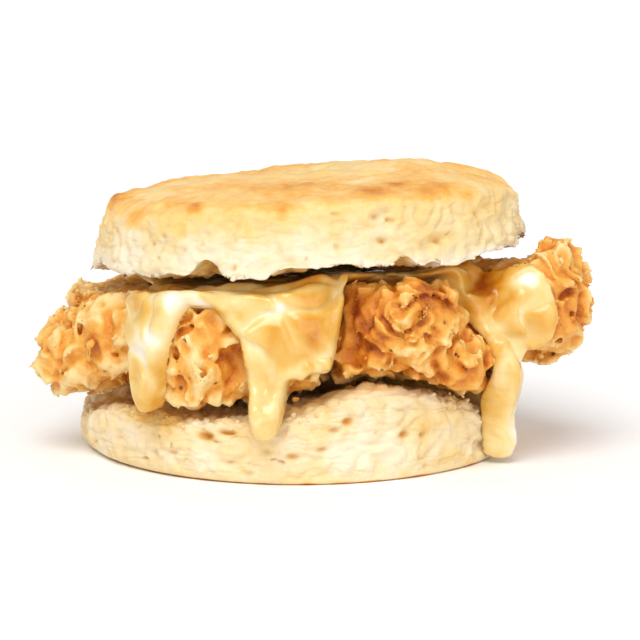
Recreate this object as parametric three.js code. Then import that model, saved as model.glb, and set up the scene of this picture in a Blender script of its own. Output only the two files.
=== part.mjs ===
// A split biscuit holding two craggy pieces of fried chicken, with a honey butter sauce poured over them.
// Millimetres, +Z up, +X to the right and -Y towards the eater. The origin is the middle of the flat base.
//
// Every piece is a field: a function that is negative inside the piece and roughly the distance to its
// skin outside. A sphere's vertices are sent out along rays until they meet that skin, and then pushed
// inwards by a relief of crags or crumb, so that each piece stays inside its own field and clear of the rest.
// Angles round the stack are in degrees from +X, with -90 at the front.
import * as THREE from "three";
import { mergeVertices } from "three/addons/utils/BufferGeometryUtils.js";

// ---- Driving sizes ----

const air = 0.5; // between pieces that rest on each other

const lowerHalf = {
  radius: 47.7,
  height: 13.2, // of the torn face, before its swells
  baseTuck: 1.6, // how far the wall draws in at the base
  tuckHeight: 6,
  edgeRound: 5,
  baseRound: { left: 4.2, right: 1.2 },
  out: [
    { turns: 2, share: 0.012, from: 20 },
    { turns: 3, share: 0.009, from: 100 },
  ],
  swells: [
    { x: 18, y: -37, reach: 18, rise: 7 },
    { x: -47, y: -4, reach: 15, rise: -3.2 },
    { x: 47, y: -8, reach: 13, rise: -6 },
    { x: -20, y: 38, reach: 16, rise: 4 },
    { x: 28, y: 34, reach: 13, rise: 3 },
  ],
};

const upperHalf = {
  x: 2.3,
  y: 1,
  underside: 41.1, // height of the torn face at its middle
  slopeX: 0.06, // it leans up to the right
  slopeY: -0.045, // and up to the front
  lowRadius: 48.7,
  highRadius: 44.9,
  wall: 15.6, // height of the side wall
  crown: 3.2, // how far the top domes above the wall
  edgeRound: 3,
  rimRound: 1.4,
  lump: { height: 0.8, size: 13, seed: 3 }, // unevenness of the top
  out: [
    { turns: 2, share: 0.011, from: 150 },
    { turns: 3, share: 0.008, from: 20 },
    { turns: 5, share: 0.004, from: 60 },
  ],
  swells: [
    { x: 17, y: 4, reach: 15, rise: 1.6 },
    { x: -22, y: -8, reach: 13, rise: 0.6 },
    { x: 8, y: -30, reach: 12, rise: -0.7 },
    { x: 49, y: 0, reach: 12, rise: -2.4 },
  ],
  // waves of the torn face, growing from one radius to another
  rim: {
    from: 26,
    to: 44,
    waves: [
      { turns: 5, height: 0.9, phase: 1.2 },
      { turns: 9, height: 0.6, phase: -0.4 },
      { turns: 14, height: 0.35, phase: 2 },
    ],
  },
  // notches where the crumb tore away at the rim
  notches: {
    from: 37,
    to: 46,
    list: [
      { angle: -137, halfWidth: 7, rise: 0.9 },
      { angle: -125, halfWidth: 5, rise: 2.2 },
      { angle: -115.5, halfWidth: 3.6, rise: 4 },
      { angle: -95, halfWidth: 5, rise: 1.7 },
      { angle: -64.5, halfWidth: 3.4, rise: 2.2 },
      { angle: -56.5, halfWidth: 2.2, rise: 1.4 },
      { angle: -12, halfWidth: 6, rise: 1.2 },
      { angle: 38, halfWidth: 5, rise: 2.4 },
      { angle: 74, halfWidth: 4, rise: 1.6 },
      { angle: 96, halfWidth: 4, rise: 3 },
      { angle: 141, halfWidth: 6, rise: 2 },
    ],
  },
  beyond: { from: 49.6, to: 52.4, rise: 6 }, // past these radii what lies under it may rise
};

const sauce = {
  gap: 1.05, // to what it lies on
  overBiscuit: 1, // extra there, where the wall turns in sharply
  thickness: 1.6,
  bead: { height: 0.9, from: 0.2, to: -0.2 }, // extra where a run ends low, growing between two elevations
  edgeRound: 2.4,
  centre: new THREE.Vector3(0, 0, 28),
  reach: 48, // radius at which a run's end height is given
  shelf: { inner: 33, outer: 41.5 }, // radii under the upper half, where the sauce ends away from the runs
  drawnBack: { angle: -66, halfWidth: 17, by: 9 }, // where it ends farther in
  blend: 5, // where two runs meet
  fill: { betweenPieces: 5, overLedge: 8 }, // of the dips in what it lies on
  // where a run reaches the ground it spreads outwards, between two elevations in radians
  foot: { angle: -20, halfWidth: 7, out: 5, sag: 0.55, from: -0.3, to: -0.43 },
  flare: { angle: -16, halfWidth: 8, by: 6 }, // and widens to one side, in degrees
  floorGap: 0.5,
  // end is the height that a run reaches, and tip is how much higher it ends towards its sides
  runs: [
    { angle: -112, halfWidth: 25, end: 37.2, square: 6, tip: 0 },
    { angle: -128, halfWidth: 8.6, end: 14.4, square: 2.3, tip: 1.5 },
    { angle: -102, halfWidth: 9, end: 30, square: 2.4, tip: 0 },
    { angle: -94, halfWidth: 10.5, end: 21.5, square: 6, tip: 0 },
    { angle: -84.4, halfWidth: 8.8, end: 22.5, square: 5, tip: 0 },
    { angle: -97.3, halfWidth: 7.3, end: 10.4, square: 5, tip: 3.5 },
    { angle: -28.5, halfWidth: 4, end: 33, square: 3, tip: 0 },
    { angle: -29, halfWidth: 4.6, end: 23, square: 3, tip: 0 },
    { angle: -29, halfWidth: 5, end: 1.2, square: 5, tip: 0 },
    { angle: 102, halfWidth: 19, end: 31, square: 4, tip: 0 },
    { angle: 93, halfWidth: 6, end: 15, square: 3, tip: 3 },
    { angle: 47, halfWidth: 9, end: 32, square: 3, tip: 2 },
    { angle: 137, halfWidth: 8, end: 27, square: 3, tip: 2 },
  ],
};

const seam = { x: 9.8, lean: 0.09, gap: 0.8, round: 3 }; // where the two pieces of chicken meet
const press = { above: 2.5, below: 2 }; // how round the chicken is where the halves press it flat

const chickenLeft = {
  side: -1,
  centre: new THREE.Vector3(-21, -3, 27),
  blend: 5,
  lobes: [
    { at: [-19, 3, 28], size: [33, 38, 16] },
    { at: [-40, -9, 24.4], size: [11.4, 17, 11.2] },
    { at: [-49.2, -9, 21], size: [8.6, 12.5, 8.9] },
    { at: [-31, -8, 32], size: [10.5, 19, 8] },
    { at: [-19.5, -31, 28.5], size: [14, 15.5, 18] },
    { at: [-2, -30, 29], size: [15, 15.5, 18] },
    { at: [2, 13, 28], size: [15, 26, 15] },
  ],
  rises: [], // where it stands up to the torn face, past the level of the sauce
};

const chickenRight = {
  side: 1,
  centre: new THREE.Vector3(38, -4, 27),
  blend: 5,
  lobes: [
    { at: [29, 8, 30], size: [25, 33, 17] },
    { at: [22, -31, 33], size: [13.5, 15.5, 14.5] },
    { at: [10, -24, 24], size: [12, 15, 11] },
    { at: [32.5, -25, 22.5], size: [11, 14, 9.5] },
    { at: [51.5, -7, 33.2], size: [14, 18, 14.8] },
    { at: [54, -9, 42.5], size: [6, 8, 6.5] },
  ],
  rises: [{ x: 22.5, y: -40, reach: 9, rise: 2 }],
};

const crags = {
  depth: 3.5, // of the fried coating
  share: 0.6, // of that depth, in the creases
  size: 7.5,
  narrow: 2.2, // how narrow the creases are
  warp: 3.2,
  warpSize: 11,
  knob: 0.6, // contrast of the knobs and hollows
  knobSize: 13,
};


// of the biscuit's wall and torn face: swells, and pits where a noise is high
const crumb = { depth: 1, size: 7, flatten: 0.6, pit: 1.2, pitSize: 8, pitFrom: 0.4, pitTo: 0.75 };

// columns round a piece, rows on its lower face, its side and its upper face, and the drum that the rows
// are spaced for, from its middle
const mesh = {
  chicken: { columns: 84, rows: [4, 9, 5], drum: { radius: 30, below: 12, above: 12 } },
  lower: { columns: 80, rows: [2, 6, 5], drum: { radius: 44, below: 6, above: 7 } },
  upper: { columns: 80, rows: [3, 6, 5], drum: { radius: 46, below: 8, above: 8 } },
  sauce: { columns: 124, rows: 18, hiddenRows: 2, crowding: 1.3 }, // rows crowd towards its lower edge
};

// ---- Noise ----

// A whole number from 0 to 2^32 for each corner of the lattice.
function cornerHash(x, y, z, seed) {
  let h =
    Math.imul(x, 374761393) +
    Math.imul(y, 668265263) +
    Math.imul(z, 1440662683) +
    Math.imul(seed, 974634777);
  h = Math.imul(h ^ (h >>> 13), 1274126177);
  h = Math.imul(h ^ (h >>> 15), 1911520717);
  return (h ^ (h >>> 16)) >>> 0;
}

const fade = (t) => t * t * t * (t * (t * 6 - 15) + 10);

// Smooth noise from about -1 to 1, one swell to each unit of length.
function noise(x, y, z, seed) {
  const cell = [x, y, z].map(Math.floor);
  const part = [x - cell[0], y - cell[1], z - cell[2]];
  const ease = part.map(fade);
  let sum = 0;
  for (let corner = 0; corner < 8; corner++) {
    const step = [corner & 1, (corner >> 1) & 1, corner >> 2];
    const h = cornerHash(cell[0] + step[0], cell[1] + step[1], cell[2] + step[2], seed);
    let slope = 0;
    let weight = 1;
    for (let axis = 0; axis < 3; axis++) {
      const tilt = ((h >>> (10 * axis)) & 1023) / 511.5 - 1;
      slope += tilt * (part[axis] - step[axis]);
      weight *= step[axis] ? ease[axis] : 1 - ease[axis];
    }
    sum += slope * weight;
  }
  return 1.6 * sum;
}

const noiseAt = (p, size, seed) => noise(p.x / size, p.y / size, p.z / size, seed);

// ---- Fields ----

function smoothMin(a, b, k) {
  if (k <= 0) return Math.min(a, b);
  const h = Math.max(k - Math.abs(a - b), 0) / k;
  return Math.min(a, b) - (h * h * k) / 4;
}

const smoothMax = (a, b, k) => -smoothMin(-a, -b, k);
const clamp01 = (t) => Math.min(1, Math.max(0, t));
const { lerp, degToRad, radToDeg } = THREE.MathUtils;

function smoothStep(low, high, x) {
  const t = clamp01((x - low) / (high - low));
  return t * t * (3 - 2 * t);
}

// A radius's share of waviness at an angle round the stack.
function outOfRound(waves, angle) {
  return waves.reduce((sum, w) => sum + w.share * Math.cos(w.turns * angle - degToRad(w.from)), 0);
}

function swellHeight(swells, x, y) {
  return swells.reduce(
    (sum, s) => sum + s.rise * Math.exp(-((x - s.x) ** 2 + (y - s.y) ** 2) / s.reach ** 2),
    0,
  );
}

// Height of the lower half's torn face.
const lowerFace = (x, y) => lowerHalf.height + swellHeight(lowerHalf.swells, x, y);

const upperPlane = (dx, dy) => upperHalf.underside + upperHalf.slopeX * dx + upperHalf.slopeY * dy;

// Height of the upper half's torn face, with its wavy rim.
function upperFace(x, y) {
  const { rim } = upperHalf;
  const dx = x - upperHalf.x;
  const dy = y - upperHalf.y;
  const angle = Math.atan2(dy, dx);
  const wave = rim.waves.reduce((sum, w) => sum + w.height * Math.cos(w.turns * angle + w.phase), 0);
  return upperPlane(dx, dy) + smoothStep(rim.from, rim.to, Math.hypot(dx, dy)) * wave;
}

function notchRise(dx, dy) {
  const { from, to, list } = upperHalf.notches;
  const angle = radToDeg(Math.atan2(dy, dx));
  const rise = list.reduce((sum, n) => sum + n.rise * Math.exp(-(((angle - n.angle) / n.halfWidth) ** 2)), 0);
  return rise * smoothStep(from, to, Math.hypot(dx, dy));
}

function lowerHalfField(p) {
  const { radius, baseTuck, tuckHeight, edgeRound, baseRound } = lowerHalf;
  const tuck = baseTuck * Math.max(0, 1 - p.z / tuckHeight) ** 2;
  const wall = radius * (1 + outOfRound(lowerHalf.out, Math.atan2(p.y, p.x))) - tuck;
  const body = smoothMax(Math.hypot(p.x, p.y) - wall, p.z - lowerFace(p.x, p.y), edgeRound);
  return smoothMax(body, -p.z, lerp(baseRound.right, baseRound.left, clamp01(-p.x / radius)));
}

function upperHalfField(p) {
  const { lowRadius, highRadius, wall, crown, edgeRound, rimRound, lump } = upperHalf;
  const dx = p.x - upperHalf.x;
  const dy = p.y - upperHalf.y;
  const out = Math.hypot(dx, dy);
  const up = p.z - upperPlane(dx, dy);
  const drawIn = clamp01(up / wall) ** 1.2;
  const radius = lerp(lowRadius, highRadius, drawIn) * (1 + outOfRound(upperHalf.out, Math.atan2(dy, dx)));
  const dome = crown * Math.max(0, 1 - (out / highRadius) ** 4) + swellHeight(upperHalf.swells, p.x, p.y);
  const lumps = lump.height * noise(p.x / lump.size, p.y / lump.size, 0.5, lump.seed);
  const body = smoothMax(out - radius, up - wall - dome - lumps, edgeRound);
  return smoothMax(body, upperFace(p.x, p.y) + notchRise(dx, dy) - p.z, rimRound);
}

// Roughly the distance to an ellipsoid's skin.
function lobeField(p, lobe) {
  const d = [p.x - lobe.at[0], p.y - lobe.at[1], p.z - lobe.at[2]];
  const near = Math.hypot(...d.map((v, i) => v / lobe.size[i]));
  const slope = Math.hypot(...d.map((v, i) => v / lobe.size[i] ** 2));
  return slope < 1e-6 ? -Math.min(...lobe.size) : (near * (near - 1)) / slope;
}

// Beyond the upper half's edge the pieces under it may rise past its torn face.
function ceiling(p) {
  const { beyond } = upperHalf;
  const out = Math.hypot(p.x - upperHalf.x, p.y - upperHalf.y);
  return upperFace(p.x, p.y) - air + beyond.rise * smoothStep(beyond.from, beyond.to, out);
}

// A piece of chicken: its lobes run together, pressed between the halves and against the other piece.
function chickenField(p, piece) {
  const lobes = piece.lobes.map((lobe) => lobeField(p, lobe)).reduce((a, b) => smoothMin(a, b, piece.blend));
  const fromSeam = piece.side * (p.x - seam.x - seam.lean * p.y) - seam.gap / 2;
  const top = ceiling(p) - sauce.thickness - sauce.gap + swellHeight(piece.rises, p.x, p.y);
  const base = lowerFace(p.x, p.y) + air;
  const pressed = smoothMax(smoothMax(lobes, p.z - top, press.above), base - p.z, press.below);
  return smoothMax(pressed, -fromSeam, seam.round);
}

const leftField = (p) => chickenField(p, chickenLeft);
const rightField = (p) => chickenField(p, chickenRight);

// What the sauce lies on: both pieces of chicken and the lower half, with the dips between them filled.
function beddingField(p) {
  const meat = smoothMin(leftField(p), rightField(p), sauce.fill.betweenPieces);
  return smoothMin(meat, lowerHalfField(p) - sauce.overBiscuit, sauce.fill.overLedge);
}

// ---- Relief, as a depth below the skin ----

// Curly ridges between creases, with broader knobs and hollows among them.
function cragDepth(p) {
  const bend = [11, 12, 13].map((seed) => crags.warp * noiseAt(p, crags.warpSize, seed));
  const bent = new THREE.Vector3(...bend).add(p);
  const crease = 1 - Math.min(1, crags.narrow * Math.abs(noiseAt(bent, crags.size, 14)));
  const hollow = clamp01(0.5 + crags.knob * noiseAt(p, crags.knobSize, 15));
  return crags.depth * lerp(hollow, crease, crags.share);
}

function crumbDepth(p) {
  const { size, flatten, pitSize, pitFrom, pitTo } = crumb;
  const swell = clamp01(0.5 + 0.5 * noise(p.x / size, p.y / size, p.z / (flatten * size), 21));
  return crumb.depth * swell + crumb.pit * smoothStep(pitFrom, pitTo, noiseAt(p, pitSize, 22));
}

// The base stays flat, to rest on.
const wallCrumbDepth = (p) => crumbDepth(p) * smoothStep(0.5, 3, p.z);

// ---- Geometry ----

// How far a ray from the centre goes before it first passes the level of the field: strides as long as the
// depth allows, and then the last stride halved again and again.
function rayLength(field, centre, ray, level) {
  const shortest = 0.4;
  const shareOfDepth = 0.7;
  const halvings = 18;
  const p = new THREE.Vector3();
  const depthAt = (length) => level - field(p.copy(ray).multiplyScalar(length).add(centre));
  let far = 0;
  let stride = 0;
  for (let depth = depthAt(0); depth > 0; depth = depthAt(far)) {
    stride = Math.max(shortest, shareOfDepth * depth);
    far += stride;
  }
  let near = far - stride;
  for (let i = 0; i < halvings; i++) {
    const middle = (near + far) / 2;
    if (depthAt(middle) > 0) near = middle;
    else far = middle;
  }
  return (near + far) / 2;
}

function fieldNormal(field, p) {
  const step = 0.05;
  const slope = ["x", "y", "z"].map((axis) => {
    const ahead = p.clone();
    const behind = p.clone();
    ahead[axis] += step;
    behind[axis] -= step;
    return field(ahead) - field(behind);
  });
  return new THREE.Vector3(...slope).normalize();
}

// A sphere of shared vertices, each moved to place(angle, row), where row runs from 0 at the top to rows.
function mouldedSphere(columns, rows, place) {
  let geometry = new THREE.SphereGeometry(1, columns, rows).rotateX(Math.PI / 2);
  geometry.deleteAttribute("normal");
  geometry.deleteAttribute("uv");
  geometry = mergeVertices(geometry, 1e-4);
  const position = geometry.getAttribute("position");
  const p = new THREE.Vector3();
  for (let i = 0; i < position.count; i++) {
    p.fromBufferAttribute(position, i);
    const row = Math.round((rows * Math.acos(THREE.MathUtils.clamp(p.z, -1, 1))) / Math.PI);
    const angle = Math.hypot(p.x, p.y) < 1e-4 ? 0 : Math.atan2(p.y, p.x);
    position.setXYZ(i, ...place(angle, row).toArray());
  }
  geometry.computeVertexNormals();
  return geometry;
}

// Elevation of each row, so that the rows lie evenly on the faces and the side of a drum of these sizes.
function drumElevation(row, rows, drum) {
  const [low, side, high] = rows;
  const { radius, below, above } = drum;
  if (row <= high) return Math.atan2(above, (radius * row) / high);
  if (row >= high + side) return -Math.atan2(below, (radius * (low + side + high - row)) / low);
  return Math.atan2(above - ((above + below) * (row - high)) / side, radius);
}

function rayTowards(angle, elevation) {
  const flat = Math.cos(elevation);
  return new THREE.Vector3(flat * Math.cos(angle), flat * Math.sin(angle), Math.sin(elevation));
}

function pieceGeometry(field, centre, grid, relief) {
  const total = grid.rows.reduce((a, b) => a + b);
  return mouldedSphere(grid.columns, total, (angle, row) => {
    const ray = rayTowards(angle, drumElevation(row, grid.rows, grid.drum));
    const skin = ray.multiplyScalar(rayLength(field, centre, ray, 0)).add(centre);
    return skin.addScaledVector(fieldNormal(field, skin), -relief(skin));
  });
}

// ---- The sauce ----

// Where the sauce lies just clear of its bedding, at an angle and elevation from its centre.
function sauceUnderside(angle, elevation) {
  const ray = rayTowards(angle, elevation);
  return ray.multiplyScalar(rayLength(beddingField, sauce.centre, ray, sauce.gap)).add(sauce.centre);
}

// Elevation, seen from the sauce's centre, of the ring at a radius under the upper half.
function ringElevation(angle, radius) {
  const halvings = 12;
  let low = 0.15; // every ring lies between these two
  let high = 0.9;
  for (let i = 0; i < halvings; i++) {
    const middle = (low + high) / 2;
    const hit = sauceUnderside(angle, middle);
    if (Math.hypot(hit.x - upperHalf.x, hit.y - upperHalf.y) > radius) low = middle;
    else high = middle;
  }
  return high;
}

const elevationOf = (height) => Math.atan2(height - sauce.centre.z, sauce.reach);

// Elevation at which the sauce ends, the lowest of the runs there.
function endElevation(angle, lip) {
  return sauce.runs.reduce((lowest, run) => {
    const turn = THREE.MathUtils.euclideanModulo(radToDeg(angle) - run.angle + 180, 360) - 180;
    const off = turn / run.halfWidth;
    const fall = Math.exp(-(Math.abs(off) ** run.square));
    const end = elevationOf(run.end + run.tip * Math.min(1, off ** 2));
    return smoothMin(lowest, lerp(lip, Math.min(lip, end), fall), (fall * sauce.blend) / sauce.reach);
  }, lip);
}

function shelfRadius(angle) {
  const { drawnBack, shelf } = sauce;
  const beside = (radToDeg(angle) - drawnBack.angle) / drawnBack.halfWidth;
  return shelf.outer - drawnBack.by * Math.exp(-(beside ** 2));
}

// The sauce's lower edge all round the stack, with the distance run along it.
const edgeSteps = 720;
const climbShare = 0.65; // how much of a climb or fall counts in the distance run
const narrowest = 0.04; // between the shelf's two elevations
const edge = [];
for (let i = 0; i <= edgeSteps; i++) {
  const angle = (2 * Math.PI * i) / edgeSteps - Math.PI;
  const shelf = ringElevation(angle, sauce.shelf.inner);
  const lip = Math.min(shelf - narrowest, ringElevation(angle, shelfRadius(angle)));
  const end = endElevation(angle, lip);
  const last = edge.at(-1);
  const run = last ? last.run + Math.hypot(angle - last.angle, climbShare * (end - last.end)) : 0;
  edge.push({ angle, shelf, end, run });
}

// The edge at a share of the distance run, so that the columns stand closer together beside a drip.
function edgeAt(share) {
  const run = share * edge.at(-1).run;
  const next = Math.max(1, edge.findIndex((e) => e.run >= run));
  const [a, b] = [edge[next - 1], edge[next]];
  const t = clamp01((run - a.run) / (b.run - a.run));
  return { angle: lerp(a.angle, b.angle, t), shelf: lerp(a.shelf, b.shelf, t), end: lerp(a.end, b.end, t) };
}

function edgeDistance(angle, elevation) {
  const near = edge.reduce((least, e) => {
    const turn = Math.abs(angle - e.angle);
    return Math.min(least, Math.hypot(Math.min(turn, 2 * Math.PI - turn), elevation - e.end));
  }, Infinity);
  return near * sauce.reach;
}

// A rounded edge, with a bead where a run ends low.
function sauceThickness(angle, elevation) {
  const near = clamp01(edgeDistance(angle, elevation) / sauce.edgeRound);
  const bead = sauce.bead.height * smoothStep(sauce.bead.from, sauce.bead.to, elevation);
  return (sauce.thickness + bead) * Math.sqrt(1 - (1 - near) ** 2);
}

// 1 at an angle in degrees, falling off to both sides like a bell.
const bell = (angle, middle, halfWidth) => Math.exp(-(((radToDeg(angle) - middle) / halfWidth) ** 2));

const nearGround = (elevation) => smoothStep(sauce.foot.from, sauce.foot.to, elevation);

// The angle to which the widening foot carries an angle of the edge, closed in on step by step.
function flared(angle, elevation) {
  const { flare } = sauce;
  const by = degToRad(flare.by) * nearGround(elevation);
  const rounds = 24;
  let out = angle;
  for (let i = 0; i < rounds; i++) out = angle + by * bell(out, flare.angle, flare.halfWidth);
  return out;
}

function sauceGeometry() {
  const { columns, rows, hiddenRows, crowding } = mesh.sauce;
  const half = rows / 2;
  return mouldedSphere(columns, rows, (even, row) => {
    const { angle, shelf, end } = edgeAt((even + Math.PI) / (2 * Math.PI));
    const step = row <= half ? row : rows - row;
    const out = Math.min(1, step / hiddenRows);
    const down = Math.max(0, step - hiddenRows) / (half - hiddenRows);
    const elevation = out < 1 ? Math.atan2(Math.tan(shelf), out) : lerp(end, shelf, (1 - down) ** crowding);
    const outAngle = flared(angle, elevation);
    const skin = sauceUnderside(outAngle, elevation);
    if (row >= half) return skin;
    const { foot } = sauce;
    const spread = foot.out * bell(outAngle, foot.angle, foot.halfWidth) * nearGround(elevation);
    skin.addScaledVector(fieldNormal(beddingField, skin), sauceThickness(angle, elevation) + spread);
    skin.z -= foot.sag * spread;
    return skin.setZ(Math.max(sauce.floorGap, Math.min(skin.z, ceiling(skin))));
  });
}

// ---- Assembly ----

const biscuit = new THREE.Group();

function addPiece(name, geometry, colour, roughness) {
  const material = new THREE.MeshStandardMaterial({ color: colour, roughness, metalness: 0 });
  const piece = new THREE.Mesh(geometry, material);
  piece.name = name;
  biscuit.add(piece);
}

function addLowerHalf() {
  const centre = new THREE.Vector3(0, 0, mesh.lower.drum.below);
  const geometry = pieceGeometry(lowerHalfField, centre, mesh.lower, wallCrumbDepth);
  addPiece("biscuit_lower", geometry, 0xf2dcb0, 0.85);
}

function addUpperHalf() {
  const centre = new THREE.Vector3(upperHalf.x, upperHalf.y, upperHalf.underside + mesh.upper.drum.below);
  addPiece("biscuit_upper", pieceGeometry(upperHalfField, centre, mesh.upper, crumbDepth), 0xf0c987, 0.8);
}

function addChicken(name, field, piece) {
  addPiece(name, pieceGeometry(field, piece.centre, mesh.chicken, cragDepth), 0xe09a3e, 0.7);
}

addLowerHalf();
addChicken("chicken_left", leftField, chickenLeft);
addChicken("chicken_right", rightField, chickenRight);
addPiece("honey_butter_sauce", sauceGeometry(), 0xe9bf7a, 0.25);
addUpperHalf();

export default biscuit;
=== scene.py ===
import math

import bpy
import numpy as np
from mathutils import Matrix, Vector


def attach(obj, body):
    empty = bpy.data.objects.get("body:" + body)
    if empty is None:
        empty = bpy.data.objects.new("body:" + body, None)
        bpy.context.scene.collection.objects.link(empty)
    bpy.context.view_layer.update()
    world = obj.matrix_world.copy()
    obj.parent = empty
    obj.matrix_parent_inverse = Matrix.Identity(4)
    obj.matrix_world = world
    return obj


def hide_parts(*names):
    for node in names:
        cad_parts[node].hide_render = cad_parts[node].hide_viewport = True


# A split buttermilk biscuit with two pieces of fried chicken and a honey butter sauce over them.
# Shapes are worked out in millimetres and put into the meshes in metres. +Z is up and -Y faces the eater.
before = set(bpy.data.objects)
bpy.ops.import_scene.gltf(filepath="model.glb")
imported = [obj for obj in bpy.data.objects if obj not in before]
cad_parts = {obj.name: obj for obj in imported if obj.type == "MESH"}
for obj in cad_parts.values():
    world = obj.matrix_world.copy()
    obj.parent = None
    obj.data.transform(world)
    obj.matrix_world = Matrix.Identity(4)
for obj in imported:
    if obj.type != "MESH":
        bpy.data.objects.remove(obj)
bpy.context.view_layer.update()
metre = 0.001
detail = 1
print("frame loaded")


# Mixes three whole numbers and a seed into one from 0 to 2^32.
def cornerHash(x, y, z, seed):
    h = x * np.uint32(374761393) + y * np.uint32(668265263) + z * np.uint32(1440662683)
    h = h + np.uint32(seed * 974634777 % 2**32)
    h = (h ^ (h >> np.uint32(13))) * np.uint32(1274126177)
    h = (h ^ (h >> np.uint32(15))) * np.uint32(1911520717)
    return h ^ (h >> np.uint32(16))


# Splits points into whole lattice cells and the part of a cell that is left.
def latticeOf(x, y, z):
    cell = [np.floor(v) for v in (x, y, z)]
    part = [v - c for v, c in zip((x, y, z), cell)]
    return [c.astype(np.int64).astype(np.uint32) for c in cell], part


# A number from 0 to 1 out of one ten-bit field of a hash.
def hashShare(h, field):
    return (h >> np.uint32(10 * field) & np.uint32(1023)) / 1023


# Gradient noise: at each corner of the cell a hashed slope times the way to the point, blended by a
# fifth-degree ease. About -1 to 1, one swell to each unit of length.
def noise(x, y, z, seed):
    cell, part = latticeOf(x, y, z)
    ease = [t * t * t * (t * (t * 6 - 15) + 10) for t in part]
    total = 0
    for corner in range(8):
        step = (corner & 1, corner >> 1 & 1, corner >> 2)
        h = cornerHash(*(c + np.uint32(s) for c, s in zip(cell, step)), seed)
        slope, weight = 0, 1
        for axis in range(3):
            slope = slope + (2 * hashShare(h, axis) - 1) * (part[axis] - step[axis])
            weight = weight * (ease[axis] if step[axis] else 1 - ease[axis])
        total = total + slope * weight
    return 1.6 * total


def noiseAt(p, size, seed):
    return noise(p[:, 0] / size, p[:, 1] / size, p[:, 2] / size, seed)


# Points moved by three noises of their own, which turns straight patterns curly.
def warped(p, reach, size, seed):
    return p + reach * np.stack([noiseAt(p, size, seed + i) for i in range(3)], 1)


# Cell pattern: one hashed point in each lattice cell. Gives the distance to the nearest, how much
# farther the second nearest is, and two numbers from 0 to 1 that belong to the nearest.
def cellsAt(p, size, seed):
    cell, part = latticeOf(*(p.T / size))
    nearest = np.full(len(p), 9.0)
    second = np.full(len(p), 9.0)
    pick = np.zeros(len(p), np.uint32)
    for shift in np.ndindex(3, 3, 3):
        around = [c + np.uint32((s - 1) % 2**32) for c, s in zip(cell, shift)]
        h = cornerHash(*around, seed)
        away = [s - 1 + hashShare(h, i) - part[i] for i, s in enumerate(shift)]
        distance = np.sqrt(sum(a * a for a in away))
        closer = distance < nearest
        second = np.where(closer, nearest, np.minimum(second, distance))
        pick = np.where(closer, h, pick)
        nearest = np.minimum(nearest, distance)
    mixed = pick * np.uint32(2654435761)
    return nearest, second - nearest, hashShare(mixed, 1), hashShare(mixed, 2)


# The smaller of two values, with the corner between them rounded over a width k.
def smoothMin(a, b, k):
    h = np.maximum(k - np.abs(a - b), 0) / np.maximum(k, 1e-9)
    return np.minimum(a, b) - h * h * k / 4


def smoothMax(a, b, k):
    return -smoothMin(-a, -b, k)


def clamp01(t):
    return np.clip(t, 0, 1)


def smoothStep(low, high, x):
    t = clamp01((x - low) / (high - low))
    return t * t * (3 - 2 * t)


def lerp(a, b, t):
    return a + (b - a) * t


def bell(x, halfWidth):
    return np.exp(-((x / halfWidth) ** 2))


# Sum of soft spots: each an amount times a bell of the distance from its middle over its half widths.
def spotSum(p, spots):
    total = np.zeros(len(p))
    for middle, size, amount in spots:
        total += amount * np.exp(-np.sum(((p - np.array(middle)) / np.array(size)) ** 2, 1))
    return total


# The shapes are fields, negative inside and roughly the distance outside, from the same sizes as the
# plain solids. Angles round the stack are in degrees from +X, with -90 at the front.
air = 0.5  # between pieces that rest on each other

lowerHalf = {
    "radius": 47.7, "height": 13.2, "baseTuck": 1.6, "tuckHeight": 6, "edgeRound": 5,
    "baseRoundLeft": 4.2, "baseRoundRight": 1.2,
    "out": [(2, 0.012, 20), (3, 0.009, 100)],  # waves round it, their share of the radius, and degrees
    # x, y, reach and rise
    "swells": [(18, -37, 18, 7), (-47, -4, 15, -3.2), (47, -8, 13, -6), (-20, 38, 16, 4), (28, 34, 13, 3)],
}

upperHalf = {
    "x": 2.3, "y": 1, "underside": 41.1, "slopeX": 0.06, "slopeY": -0.045,
    "lowRadius": 48.7, "highRadius": 44.9, "wall": 15.6, "crown": 3.2, "edgeRound": 3, "rimRound": 1.4,
    "lump": 0.8, "lumpSize": 13, "lumpSeed": 3,
    "out": [(2, 0.011, 150), (3, 0.008, 20), (5, 0.004, 60)],
    "swells": [(17, 4, 15, 1.6), (-22, -8, 13, 0.6), (8, -30, 12, -0.7), (49, 0, 12, -2.4)],
    "rimFrom": 26, "rimTo": 44,
    "rimWaves": [(5, 0.9, 1.2), (9, 0.6, -0.4), (14, 0.35, 2)],  # waves round it, height, phase
    "notchFrom": 37, "notchTo": 46,
    # angle, half width in degrees, and how far the crumb tore away there
    "notches": [
        (-137, 7, 0.9), (-125, 5, 2.2), (-115.5, 3.6, 4), (-95, 5, 1.7), (-64.5, 3.4, 2.2), (-56.5, 2.2, 1.4),
        (-12, 6, 1.2), (38, 5, 2.4), (74, 4, 1.6), (96, 4, 3), (141, 6, 2),
    ],
    "beyondFrom": 49.6, "beyondTo": 52.4, "beyondRise": 6,  # past these radii what lies under it may rise
}

seam = {"x": 9.8, "lean": 0.09, "gap": 0.8, "round": 3}  # where the two pieces of chicken meet
press = {"above": 2.5, "below": 2}  # how round the chicken is where the halves press it flat

# Each lobe is an ellipsoid: its middle and its three half widths.
chickenLeft = {
    "side": -1, "centre": (-21, -3, 27), "blend": 5, "tone": 0.33,
    "lobes": [
        ((-19, 3, 28), (33, 38, 16)),
        ((-40, -9, 24.4), (11.4, 17, 11.2)),
        ((-49.2, -9, 21), (8.6, 12.5, 8.9)),
        ((-31, -8, 32), (10.5, 19, 8)),
        ((-19.5, -31, 28.5), (14, 15.5, 18)),
        ((-2, -30, 29), (15, 15.5, 18)),
        ((2, 13, 28), (15, 26, 15)),
    ],
    "rises": [],
}

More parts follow.
